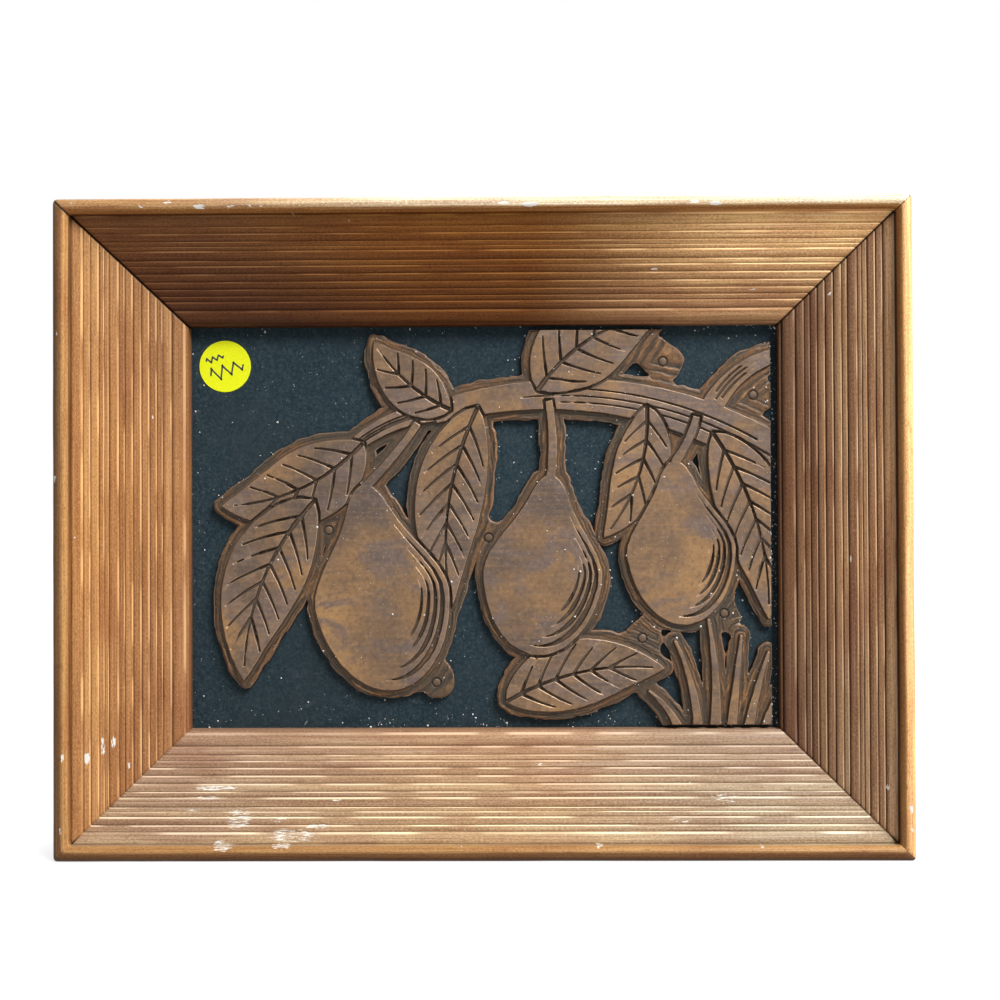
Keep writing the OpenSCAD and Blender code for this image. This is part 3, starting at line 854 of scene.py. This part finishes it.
def thinned(line, tolerance):
    """A line without the points that lie closer to it than the tolerance, and whether it is closed"""
    points = np.array(line)
    last = len(points) - 1
    closed = last > 2 and np.allclose(points[0], points[last])
    stops = [0, len(points) // 2, last] if closed else [0, last]
    keep = np.zeros(len(points), bool)
    keep[stops] = True
    stack = list(zip(stops, stops[1:]))
    while stack:
        a, b = stack.pop()
        if b - a < 2:
            continue
        way = points[b] - points[a]
        off = points[a + 1:b] - points[a]
        gap = np.linalg.norm(off, axis=1)
        if way.any():
            gap = np.abs(off[:, 0] * way[1] - off[:, 1] * way[0]) / np.linalg.norm(way)
        worst = int(gap.argmax())
        if gap[worst] > tolerance:
            middle = a + 1 + worst
            keep[middle] = True
            stack += [(a, middle), (middle, b)]
    return points[keep], closed


# Drop of the wall between the printing surface and the shoulder, against the distance from the edge
wall_out = [-0.16, -0.1, 0, 0.22, 0.5]
wall_drop = [0, 0.03, 0.14, 1.05, 1.5]
# Levels of the relief and of the outline along which the mesh has edges, each with its tolerance
relief_lines = [(-0.22, 0.03), (0, 0.02), (wall_out[3], 0.03), (wall_out[4], 0.04)]
outline_lines = [(-0.45, 0.05), (0, 0.03)]
shortest_line = 8
# Spacing of the points in between, on the printing surface and on the shoulders
top_step = 3.4
shoulder_step = 0.52
# How far the walls lean out, and the heights above the block at which they end
wall_lean = 0.28
wall_ends = (0.25, 0.01)
# The shoulders' ridges, the trough at the foot of the relief, the rolled rim and the rings round the nails
ridge_pitch, ridge_rise = 2.9, 0.17
trough_depth = 0.16
rolled_depth, rolled_w = 0.4, 0.9
ring_depth, ring_edge = 0.3, (0.25, 0.75)
face_drop = 0.02
nail_r = 1.38
# Radii and heights of the domed nail heads, from the middle down to the start of the shanks
nail_profile = [
    (0.12, 0.3), (0.5, 0.28), (0.9, 0.22), (1.2, 0.12),
    (nail_r, -0.03), (nail_r, -0.3), (0.6, -0.35), (0.6, -2.2),
]


def to_nail(x, z):
    """Distance to the nearest nail"""
    return np.minimum.reduce([np.hypot(x - land_x, z - land_z) for land_x, land_z, _ in lands])


def ripple_at(relief, x, z):
    """Broad ridges that the router left on the shoulders, which follow the relief"""
    drift = 1.6 * value_noise(x, z, 13, 31) + 0.5 * value_noise(x, z, 4, 32)
    waves = np.sin(2 * np.pi * (relief + drift) / ridge_pitch)
    strength = 0.45 + 0.55 * ease(-0.3, 0.5, value_noise(x, z, 9, 33))
    return (waves + 0.35 * value_noise(x, z, 1.3, 34)) * strength * ease(1.5, 2.4, to_nail(x, z))


def pit_at(x, z):
    """1 in the ring that each nail's head has pressed into the plate"""
    return 1 - ease(nail_r + ring_edge[0], nail_r + ring_edge[1], to_nail(x, z))


def plate_height(relief, standing, x, z):
    """Height of the plate's face above the wall side: a true plane on top, worked by hand below"""
    drop = np.interp(relief, wall_out, wall_drop) + face_drop
    ripple = ripple_at(relief, x, z) * ease(0.5, 1.3, relief)
    trough = trough_depth * (1 - ease(0.6, 2, relief)) * ease(0.3, 0.6, relief)
    rolled = rolled_depth * ease(-rolled_w, 0, standing) ** 2
    return relief_top - drop + ridge_rise * ripple - trough - rolled - ring_depth * pit_at(x, z)


def round_points(x, z, radius, steps):
    turns = [2 * math.pi * k / steps for k in range(steps)]
    return [(x + radius * math.cos(turn), z + radius * math.sin(turn)) for turn in turns]


def plate_lines(relief, standing):
    """Points and edges along the lines that the plate's mesh follows"""
    points, edges = [], []
    for field, lines in ((relief, relief_lines), (standing, outline_lines)):
        for level, tolerance in lines:
            for line in contour_lines(field, level):
                if len(line) < shortest_line:
                    continue
                kept, closed = thinned(line, tolerance)
                kept = kept[:-1] if closed else kept
                on_plate = sampled(standing, *kept.T) < -0.05
                inside = on_plate if field is relief and level > 0 else np.ones(len(kept), bool)
                first, count = len(points), len(kept)
                points += kept.tolist()
                links = [(k, (k + 1) % count) for k in range(count if closed else count - 1)]
                edges += [(first + a, first + b) for a, b in links if inside[a] and inside[b]]
    return points, edges


def scattered(step, seed):
    """Points over the plate, one in each square of a grid, shaken"""
    x, z = np.meshgrid(*(np.arange(low, high, step) for low, high in zip(field_low, field_high)))
    shake = np.random.default_rng(seed).uniform(-0.32, 0.32, (2, *x.shape)) * step
    return (x + shake[0]).ravel(), (z + shake[1]).ravel()


def filling_points(relief, standing):
    """Points between the lines, few on the printing surface, many on the shoulders and round the nails"""
    points = []
    for step, seed in ((top_step, 41), (shoulder_step, 42)):
        x, z = scattered(step, seed)
        depth, edge = sampled(relief, x, z), sampled(standing, x, z)
        kept = depth < -0.9 if step == top_step else (depth > wall_out[4] + 0.25) & (edge < -0.6)
        points += np.stack([x[kept], z[kept]], 1).tolist()
    for land_x, land_z, _ in lands:
        for out in (0.05, 0.3, 0.7):
            points += round_points(land_x, land_z, nail_r + out, 32)
    return points


def plate_face(relief, standing):
    """Points and triangles of the plate's face, and the edges of its rim"""
    points, edges = plate_lines(relief, standing)
    made = delaunay_2d_cdt(points + filling_points(relief, standing), edges, [], 0, 1e-4, False)
    flat, faces = np.array([tuple(p) for p in made[0]]), np.array(made[2])
    faces = faces[sampled(standing, *flat[faces].mean(1).T) < 0]
    used, faces = np.unique(faces, return_inverse=True)
    faces = faces.reshape(-1, 3).tolist()
    sides = dict.fromkeys(side for a, b, c in faces for side in ((a, b), (b, c), (c, a)))
    return flat[used], faces, [(a, b) for a, b in sides if (b, a) not in sides]


def closing_faces(line_points, links, first):
    """Triangles inside closed lines: those with an odd number of lines to their right.

    The lines' points are numbered from first on in the faces."""
    spots, _, triangles, sources, *_ = delaunay_2d_cdt(line_points.tolist(), links, [], 0, 1e-5, True)
    middle = np.array([tuple(p) for p in spots])[np.array(triangles)].mean(1)
    starts, ends = line_points[np.array(links).T]
    level = middle[:, 1:]
    crosses = (starts[:, 1] > level) != (ends[:, 1] > level)
    rise = np.where(crosses, ends[:, 1] - starts[:, 1], 1)
    across = starts[:, 0] + (level - starts[:, 1]) / rise * (ends[:, 0] - starts[:, 0])
    inside = (crosses & (across > middle[:, :1])).sum(1) % 2 == 1
    return [tuple(first + sources[k][0] for k in triangles[n])[::-1] for n in np.flatnonzero(inside)]


def outward(standing, x, z):
    """Directions away from the plate, over its edge"""
    slope = np.stack([
        sampled(standing, x + 0.2, z) - sampled(standing, x - 0.2, z),
        sampled(standing, x, z + 0.2) - sampled(standing, x, z - 0.2),
    ], 1)
    return slope / np.maximum(np.linalg.norm(slope, axis=1, keepdims=True), 1e-6)


def make_plate(relief, standing):
    """The plate's face, with walls from its rim down to the block and a flat back"""
    flat, faces, rim = plate_face(relief, standing)
    rim_points = sorted({a for side in rim for a in side})
    count, length = len(flat), len(rim_points)
    x, z = flat.T
    depth, edge = sampled(relief, x, z), sampled(standing, x, z)
    foot = np.clip(flat + outward(standing, x, z) * wall_lean, field_low, field_high)[rim_points]
    below = {a: k for k, a in enumerate(rim_points, count)}
    for a, b in rim:
        faces += [(b, a, below[a], below[b]), (below[b], below[a], below[a] + length, below[b] + length)]
    links = [(below[a] - count, below[b] - count) for a, b in rim]
    faces += closing_faces(flat[rim_points], links, count + length)
    rest = 2 * length
    plan = np.concatenate([flat, foot, foot])
    heights = np.full(len(plan), block_front + wall_ends[1])
    heights[:count] = np.minimum(plate_height(depth, edge, x, z), relief_top)
    heights[count:count + length] = block_front + wall_ends[0]
    solid = np.stack(in_frame(plan[:, 0], heights, plan[:, 1]), 1)
    attributes = {
        "relief": np.concatenate([depth, np.tile(depth[rim_points], 2)]),
        "skirt": np.concatenate([edge, np.full(rest, 0.5)]),
        "ripple": np.concatenate([ripple_at(depth, x, z), np.zeros(rest)]),
        "pit": np.concatenate([pit_at(x, z), np.zeros(rest)]),
    }
    piece = make_piece("copper_plate_relief", solid.tolist(), faces, copper_material(), 14, attributes)
    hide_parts("copper_plate")


def dusted(tree, colour, point, density):
    """The finest specks of dust, in drifts"""
    crowd = between(tree, noise(tree, point, 32, 2, 0.5), 0.4, 0.68, 0.02, 1)
    for scale, size, share in ((1300, 0.26, density), (2100, 0.3, density * 1.6)):
        speck = add(tree, "ShaderNodeTexVoronoi", Vector=point, Scale=scale)
        pick = add(tree, "ShaderNodeSeparateColor", Color=speck.outputs["Color"])
        chosen = between(tree, sums(tree, "SUBTRACT", 1, pick.outputs[0]), share, 0)
        chosen = sums(tree, "GREATER_THAN", times(tree, chosen, crowd), 0.12)
        dot = between(tree, speck.outputs["Distance"], size, size / 2)
        colour = mixed(tree, times(tree, chosen, dot), colour, (0.6, 0.6, 0.58))
    return colour


def copper_material():
    material, tree, point = new_material("tarnished_copper")
    relief = attribute(tree, "relief")
    skirt = attribute(tree, "skirt")
    patch = noise(tree, point, 26, 4, 0.55, 0.5)
    second = noise(tree, stretched(tree, point, (1, 1, 1.6)), 38, 4, 0.6, 0.8)
    streak = noise(tree, stretched(tree, point, (60, 300, 900)), 1, 4, 0.65)
    mottle = noise(tree, point, 800, 4, 0.65)
    tops = ramp(tree, patch, [
        (0.36, (0.11, 0.08, 0.064)),
        (0.46, (0.172, 0.108, 0.066)),
        (0.57, (0.255, 0.148, 0.072)),
        (0.68, (0.37, 0.208, 0.088)),
    ])
    tops = layered(tree, tops, [
        (second, (0.46, 0.6, 0, 0.85), (0.15, 0.11, 0.096)),
        (streak, (0.42, 0.74, 0, 0.3), (0.39, 0.215, 0.094)),
        (mottle, (0.5, 0.68, 0, 0.5), (0.085, 0.06, 0.048)),
        (mottle, (0.47, 0.33, 0, 0.22), (0.44, 0.28, 0.15)),
    ])
    warp = times(tree, noise(tree, point, 85, 4, 0.6), 4.5)
    phase = times(tree, sums(tree, "ADD", relief, warp), 2 * math.pi / 1.35)
    ridges = times(tree, sums(tree, "SINE", phase), between(tree, patch, 0.35, 0.55, 0.35, 1))
    worked = sums(tree, "ADD", times(tree, ridges, 0.15), times(tree, attribute(tree, "ripple"), 0.26))
    low = ramp(tree, sums(tree, "ADD", worked, 0.45), [
        (0.05, (0.024, 0.019, 0.013)),
        (0.38, (0.085, 0.05, 0.027)),
        (0.66, (0.21, 0.105, 0.045)),
        (0.95, (0.42, 0.235, 0.1)),
    ])
    low = layered(tree, low, [
        (noise(tree, point, 55, 3, 0.5), (0.44, 0.62, 0, 0.6), (0.05, 0.046, 0.035)),
        (noise(tree, point, 1000, 3, 0.65), (0.45, 0.68, 0, 0.5), (0.018, 0.016, 0.014)),
    ])
    # Painted highlight, partly real wear: a light rubbed line along the rim of the printing surface
    rim = times(tree, between(tree, relief, -0.26, -0.12), between(tree, relief, 0.03, -0.03))
    rubbed_highlight = between(tree, noise(tree, point, 90, 2, 0.5), 0.42, 0.62, 0.05, 0.5)
    lip = times(tree, between(tree, skirt, -0.55, -0.1), between(tree, skirt, 0.2, 0.05))
    colour = layered(tree, tops, [
        (relief, (-0.02, 0.14), (0.098, 0.067, 0.046)),
        (relief, (0.45, 0.95), low),
    ])
    colour = mixed(tree, times(tree, rim, rubbed_highlight), colour, (0.56, 0.37, 0.22))
    # Painted shade: the ring round each nail's head darkened nearly to black
    colour = mixed(tree, times(tree, attribute(tree, "pit"), 0.85), colour, (0.016, 0.013, 0.011))
    colour = mixed(tree, times(tree, lip, 0.55), colour, (0.27, 0.155, 0.095))
    # The plate's outer walls nearly black: dark cut edges with painted shade on them
    colour = layered(tree, colour, [(skirt, (0.1, 0.4), (0.02, 0.017, 0.015))])
    tooled = times(tree, ridges, between(tree, relief, 0.45, 0.95))
    return finished(
        material, dusted(tree, colour, point, 0.02), between(tree, mottle, 0.3, 0.7, 0.4, 0.58),
        [(streak, 0.22, 0.12), (mottle, 0.35, 0.1), (tooled, 0.6, 0.12)],
        specular=0.3, metallic=between(tree, relief, 0, 0.3, 0.35, 0.1))


def ribbon(line, width, low, high, points, faces):
    """Adds a thin closed strip along a line of (x, z) points, between two heights"""
    line = np.asarray(line, float)
    way = np.gradient(line, axis=0)
    side = np.stack([-way[:, 1], way[:, 0]], 1) / np.linalg.norm(way, axis=1, keepdims=True) * width / 2
    faces += tube_faces(len(line), 4, len(points))
    for middle, aside in zip(line, side):
        for out, height in ((aside, low), (-aside, low), (-aside, high), (aside, high)):
            x, z = middle + out
            points.append(in_frame(x, height, z))


dust_count = 30000
lint_count = 16


def drift(distance, strength, reach):
    """Share of the dust that gathers near an edge"""
    return strength * np.exp(-np.abs(distance) / reach)


def make_dust(relief, standing):
    """Specks of dust and lint on the plate and the block, thickest along the edges"""
    rng = np.random.default_rng(61)
    x = rng.uniform(-sight_w / 2, sight_w / 2, dust_count)
    z = rng.uniform(-sight_h / 2, sight_h / 2, dust_count)
    depth, edge = sampled(relief, x, z), sampled(standing, x, z)
    to_side = np.minimum(sight_w / 2 - np.abs(x), sight_h / 2 - np.abs(z))
    crowd = 0.008 + drift(to_side, 0.1, 2.2) + drift(edge - 0.5, 0.16, 0.5) + drift(depth - 0.6, 0.09, 0.3)
    crowd = crowd + 0.45 * (x > field_high[0]) + drift(z + sight_h / 2, 0.22, 4)
    crowd = crowd * (0.3 + 0.7 * ease(-0.4, 0.6, value_noise(x, z, 24, 62) + x / sight_w))
    kept = rng.uniform(size=dust_count) < crowd
    x, z, depth, edge = x[kept], z[kept], depth[kept], edge[kept]
    height = np.where(edge < 0, plate_height(depth, edge, x, z), block_front)
    points, faces = [], []
    for cx, cz, ground in zip(x, z, height):
        size = 0.13 + 0.36 * rng.uniform() ** 3
        turn = rng.uniform(0, math.pi)
        first = len(points)
        for k in range(4):
            angle = turn + k * math.pi / 2
            reach = size * rng.uniform(0.6, 1.3)
            points.append(in_frame(cx + reach * math.cos(angle), ground + 0.02, cz + reach * math.sin(angle)))
        points += [in_frame(cx, ground + size, cz), in_frame(cx, ground - 0.05, cz)]
        for k in range(4):
            a, b = first + k, first + (k + 1) % 4
            faces += [(a, b, first + 4), (b, a, first + 5)]
    for _ in range(lint_count):
        k = rng.integers(len(x))
        turn, curl, length = rng.uniform(0, 2 * math.pi), rng.uniform(-1.2, 1.2), rng.uniform(0.8, 2.4)
        angle = turn + curl * np.linspace(-1, 1, 9)
        line = np.cumsum(np.stack([np.cos(angle), np.sin(angle)], 1), 0) * length / 9 + (x[k], z[k])
        ribbon(line, 0.07, height[k] + 0.03, height[k] + 0.1, points, faces)
    dust = plain_material("dust", (0.93, 0.92, 0.89), (0.78, 0.76, 0.72), 4000, 0.9)
    piece = make_piece("dust_and_lint", points, faces, dust)


def make_plate_nails():
    """Domed heads of the nails that hold the plate, each on the start of its shank"""
    steps = 28
    points, faces = [], []
    for land_x, land_z, _ in lands:
        faces += [face[::-1] for face in tube_faces(len(nail_profile), steps, len(points))]
        for radius, rise in nail_profile:
            ring = round_points(land_x, land_z, radius, steps)
            points += [in_frame(x, shoulder_top + rise, z) for x, z in ring]
    nail = metal_material("browned_nail", (0.125, 0.075, 0.044), (0.055, 0.038, 0.025), 0.52, metallic=0.2)
    piece = make_piece("plate_nail_heads", points, faces, nail, smooth_angle=40)
    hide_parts("plate_nails")


# Lines of the pen: start, rise, length, height of the waves and their number
pen_lines = [(-6, 4, 6.8, 1.1, 3), (-6.2, -1.6, 12.8, 3.1, 3)]
pen_tilt = 20
pen_width = 0.62


def make_pen_marks():
    """Two lines of plain pen waves on the label"""
    middle = (label_low + label_high) / 2
    front = -label_low[1]
    cos, sin = math.cos(math.radians(pen_tilt)), math.sin(math.radians(pen_tilt))
    points, faces = [], []
    for start, rise, length, swing, waves in pen_lines:
        share = np.linspace(0, 1, 16 * waves + 1)
        along = start + length * share + 0.12 * swing * np.sin(4 * math.pi * waves * share)
        above = rise + swing * np.sin(2 * math.pi * waves * share) * (1 - 0.35 * share)
        line = np.stack([along * cos - above * sin, along * sin + above * cos], 1)
        ribbon(line + (middle[0], middle[2] - centre_z), pen_width, front - 0.02, front + 0.02, points, faces)
    ink = plain_material("pen_ink", (0.02, 0.02, 0.03), (0.05, 0.05, 0.04), 3000, 0.5, 0.05)
    piece = make_piece("label_pen_marks", points, faces, ink)


# Materials of the block, the label and the pieces behind

def block_material():
    material, tree, point = new_material("blue_black_paint")
    fine = noise(tree, point, 1100, 3, 0.7)
    middle = noise(tree, point, 230, 3, 0.6)
    colour = ramp(tree, fine, [
        (0.3, (0.008, 0.018, 0.026)),
        (0.52, (0.02, 0.037, 0.047)),
        (0.75, (0.054, 0.078, 0.085)),
    ])
    colour = layered(tree, colour, [
        (middle, (0.45, 0.7, 0, 0.25), (0.045, 0.06, 0.068)),
        (noise(tree, point, 22, 3, 0.5), (0.45, 0.7, 0, 0.35), (0.026, 0.036, 0.04)),
        (noise(tree, point, 70, 5, 0.75, 1.2), (0.6, 0.74, 0, 0.35), (0.11, 0.13, 0.14)),
    ])
    gloss = between(tree, fine, 0.3, 0.7, 0.55, 0.75)
    bumps = [(fine, 0.35, 0.12), (middle, 0.1, 0.2)]
    return finished(material, dusted(tree, colour, point, 0.014), gloss, bumps, specular=0.1)


def label_material():
    material, tree, point = new_material("fluorescent_paper")
    fibre = noise(tree, point, 2200, 3, 0.6)
    colour = ramp(tree, fibre, [(0.3, (0.8, 0.86, 0.004)), (0.7, (0.92, 0.97, 0.012))])
    return finished(material, colour, 0.7, [(fibre, 0.2, 0.05)], specular=0.25)


def metal_material(name, base, dark, rough, size=900, metallic=1.0):
    """Plated or bare metal with a worn, faintly mottled face"""
    material, tree, point = new_material(name)
    mottle = noise(tree, point, size, 4, 0.65)
    patch = noise(tree, point, size / 6, 3, 0.5)
    colour = layered(tree, base, [(mottle, (0.45, 0.75, 0, 0.5), dark), (patch, (0.5, 0.7, 0, 0.5), dark)])
    gloss = between(tree, patch, 0.35, 0.65, rough, rough + 0.25)
    return finished(material, colour, gloss, [(mottle, 0.15, 0.05)], metallic=metallic)


def hardboard_material():
    material, tree, point = new_material("hardboard_screen_side")
    mottle = noise(tree, point, 750, 4, 0.7)
    colour = ramp(tree, mottle, [
        (0.3, (0.075, 0.036, 0.018)),
        (0.6, (0.17, 0.088, 0.045)),
        (0.8, (0.27, 0.155, 0.085)),
    ])
    broad = noise(tree, point, 14, 3, 0.5)
    colour = layered(tree, colour, [(broad, (0.4, 0.7, 0, 0.4), (0.1, 0.055, 0.032))])
    mesh_x, mesh_z = (
        add(tree, "ShaderNodeTexWave", {"bands_direction": way}, Vector=point, Scale=190).outputs["Fac"]
        for way in "XZ")
    screen = sums(tree, "ADD", mesh_x, mesh_z)
    return finished(material, colour, 0.78, [(screen, 0.5, 0.15), (mottle, 0.4, 0.2)])


def plain_material(name, base, dark, size, rough, bump=0.3):
    material, tree, point = new_material(name)
    mottle = noise(tree, point, size, 4, 0.65)
    colour = layered(tree, base, [(mottle, (0.35, 0.7), dark)])
    return finished(material, colour, rough, [(mottle, bump, 0.1)])


def dress_nodes():
    """Gives the CAD pieces that stay their finish, and the metal and rubber ones rounded edges"""
    zinc = metal_material("zinc_plate", (0.62, 0.62, 0.6), (0.4, 0.4, 0.39), 0.28)
    screw = metal_material("zinc_screw", (0.58, 0.58, 0.58), (0.3, 0.3, 0.3), 0.3)
    brassed = metal_material("brassed_steel", (0.62, 0.44, 0.18), (0.34, 0.22, 0.09), 0.3)
    steel = metal_material("bare_steel", (0.36, 0.35, 0.34), (0.17, 0.14, 0.12), 0.35)
    rubber = plain_material("pad_rubber", (0.05, 0.05, 0.05), (0.03, 0.03, 0.03), 1500, 0.8)
    card = plain_material("filler_card", (0.42, 0.33, 0.24), (0.34, 0.26, 0.18), 600, 0.85)
    finishes = {
        "mount_block": block_material(), "backboard": hardboard_material(), "round_label": label_material(),
        "turn_button_screws": screw, "sawtooth_hanger": brassed, "hanger_nails": brassed,
        "wall_pad_left": rubber, "wall_pad_right": rubber, "filler_card": card,
    }
    for name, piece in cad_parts.items():
        material = finishes.get(name)
        if name.startswith("turn_button_") and material is None:
            material = zinc
        if name.startswith("corner_nails"):
            material = steel
        if material:
            piece.data.materials.clear()
            piece.data.materials.append(material)
        if material in (zinc, screw, brassed, rubber):
            edge = piece.modifiers.new("rounded edges", "BEVEL")
            edge.width = 0.14 * MM
            edge.segments = 3
            edge.angle_limit = math.radians(35)


# Camera, floor and light

camera_place = (0.0096, -0.41, -0.0904)
camera_pitch = 0.467
camera_roll = 0.24
camera_yaw = 0.512
focal_pixels = 1081.3
picture_pixels = 1000
sensor = 36
floor_size = 12
floor_gap = 0.02
world_strength = 0.15
# Each lamp's azimuth, elevation, distance, size and power; azimuth 0 is straight in front, 90 to the right
lamps = {"key": (46, 46, 1.1, 0.55, 21), "fill": (-30, 10, 1.6, 1, 0.6), "rear": (165, 40, 1.5, 0.9, 18)}


def make_camera():
    data = bpy.data.cameras.new("camera")
    data.sensor_width = sensor
    data.lens = focal_pixels / picture_pixels * sensor
    data.clip_start = 0.01
    camera = link("camera", data)
    turn = (
        Matrix.Rotation(math.radians(camera_yaw), 4, "Z")
        @ Matrix.Rotation(math.radians(90 + camera_pitch), 4, "X")
        @ Matrix.Rotation(math.radians(-camera_roll), 4, "Z")
    )
    camera.matrix_world = Matrix.Translation(camera_place) @ turn
    bpy.context.scene.camera = camera


def seen_share(tree):
    """1 for what the camera, a mirror or a glass shows, and 0 for the light on things"""
    path = add(tree, "ShaderNodeLightPath")
    shown = sums(tree, "MAXIMUM", path.outputs["Is Camera Ray"], path.outputs["Is Glossy Ray"])
    return sums(tree, "MAXIMUM", shown, path.outputs["Is Transmission Ray"])


def make_world():
    world = bpy.data.worlds.new("studio")
    bpy.context.scene.world = world
    world.use_nodes = True
    tree = world.node_tree
    back = tree.nodes["Background"]
    put(tree, back.inputs["Color"], (1, 1, 1))
    put(tree, back.inputs["Strength"], between(tree, seen_share(tree), 0, 1, world_strength, 1))


def make_floor():
    """A pale floor under the frame's lower edge, which reads white and keeps the shadow"""
    material, tree, point = new_material("pale_floor")
    shader = tree.nodes["Principled BSDF"]
    grain = noise(tree, point, 60, 2, 0.5)
    put(tree, shader.inputs["Base Color"], mixed(tree, grain, (0.3, 0.3, 0.3), (0.32, 0.32, 0.32)))
    put(tree, shader.inputs["Roughness"], 0.9)
    put(tree, shader.inputs["Emission Color"], (1, 1, 1))
    away = add(tree, "ShaderNodeVectorMath", {"operation": "LENGTH"})
    put(tree, away.inputs[0], point)
    glow = between(tree, away.outputs["Value"], 0.3, 1.2, 0.8, 1)
    put(tree, shader.inputs["Emission Strength"], times(tree, seen_share(tree), glow))
    mesh = bpy.data.meshes.new("floor")
    corners = [(-1, -1), (1, -1), (1, 1), (-1, 1)]
    mesh.from_pydata([(x * floor_size, y * floor_size, 0) for x, y in corners], [], [(0, 1, 2, 3)])
    mesh.materials.append(material)
    floor = link("floor", mesh)
    floor.location.z = (side_low[2] - floor_gap) * MM


def make_lamp(name, azimuth, elevation, distance, size, power):
    """A square lamp aimed at the middle of the frame"""
    data = bpy.data.lights.new(name, "AREA")
    data.size = size
    data.energy = power
    lamp = link(name, data)
    a, e = math.radians(azimuth), math.radians(elevation)
    way = Vector((math.sin(a) * math.cos(e), -math.cos(a) * math.cos(e), math.sin(e)))
    lamp.location = Vector(in_frame(0, 20, 0)) + way * distance
    lamp.rotation_mode = "QUATERNION"
    lamp.rotation_quaternion = way.to_track_quat("Z", "Y")


def make_studio():
    make_camera()
    make_world()
    make_floor()
    for name, settings in lamps.items():
        make_lamp(name, *settings)
    bpy.context.scene.view_settings.view_transform = "Standard"


make_studio()
make_rails()
relief_field, standing_field = plate_fields()
make_plate(relief_field, standing_field)
make_plate_nails()
make_pen_marks()
make_dust(relief_field, standing_field)
dress_nodes()
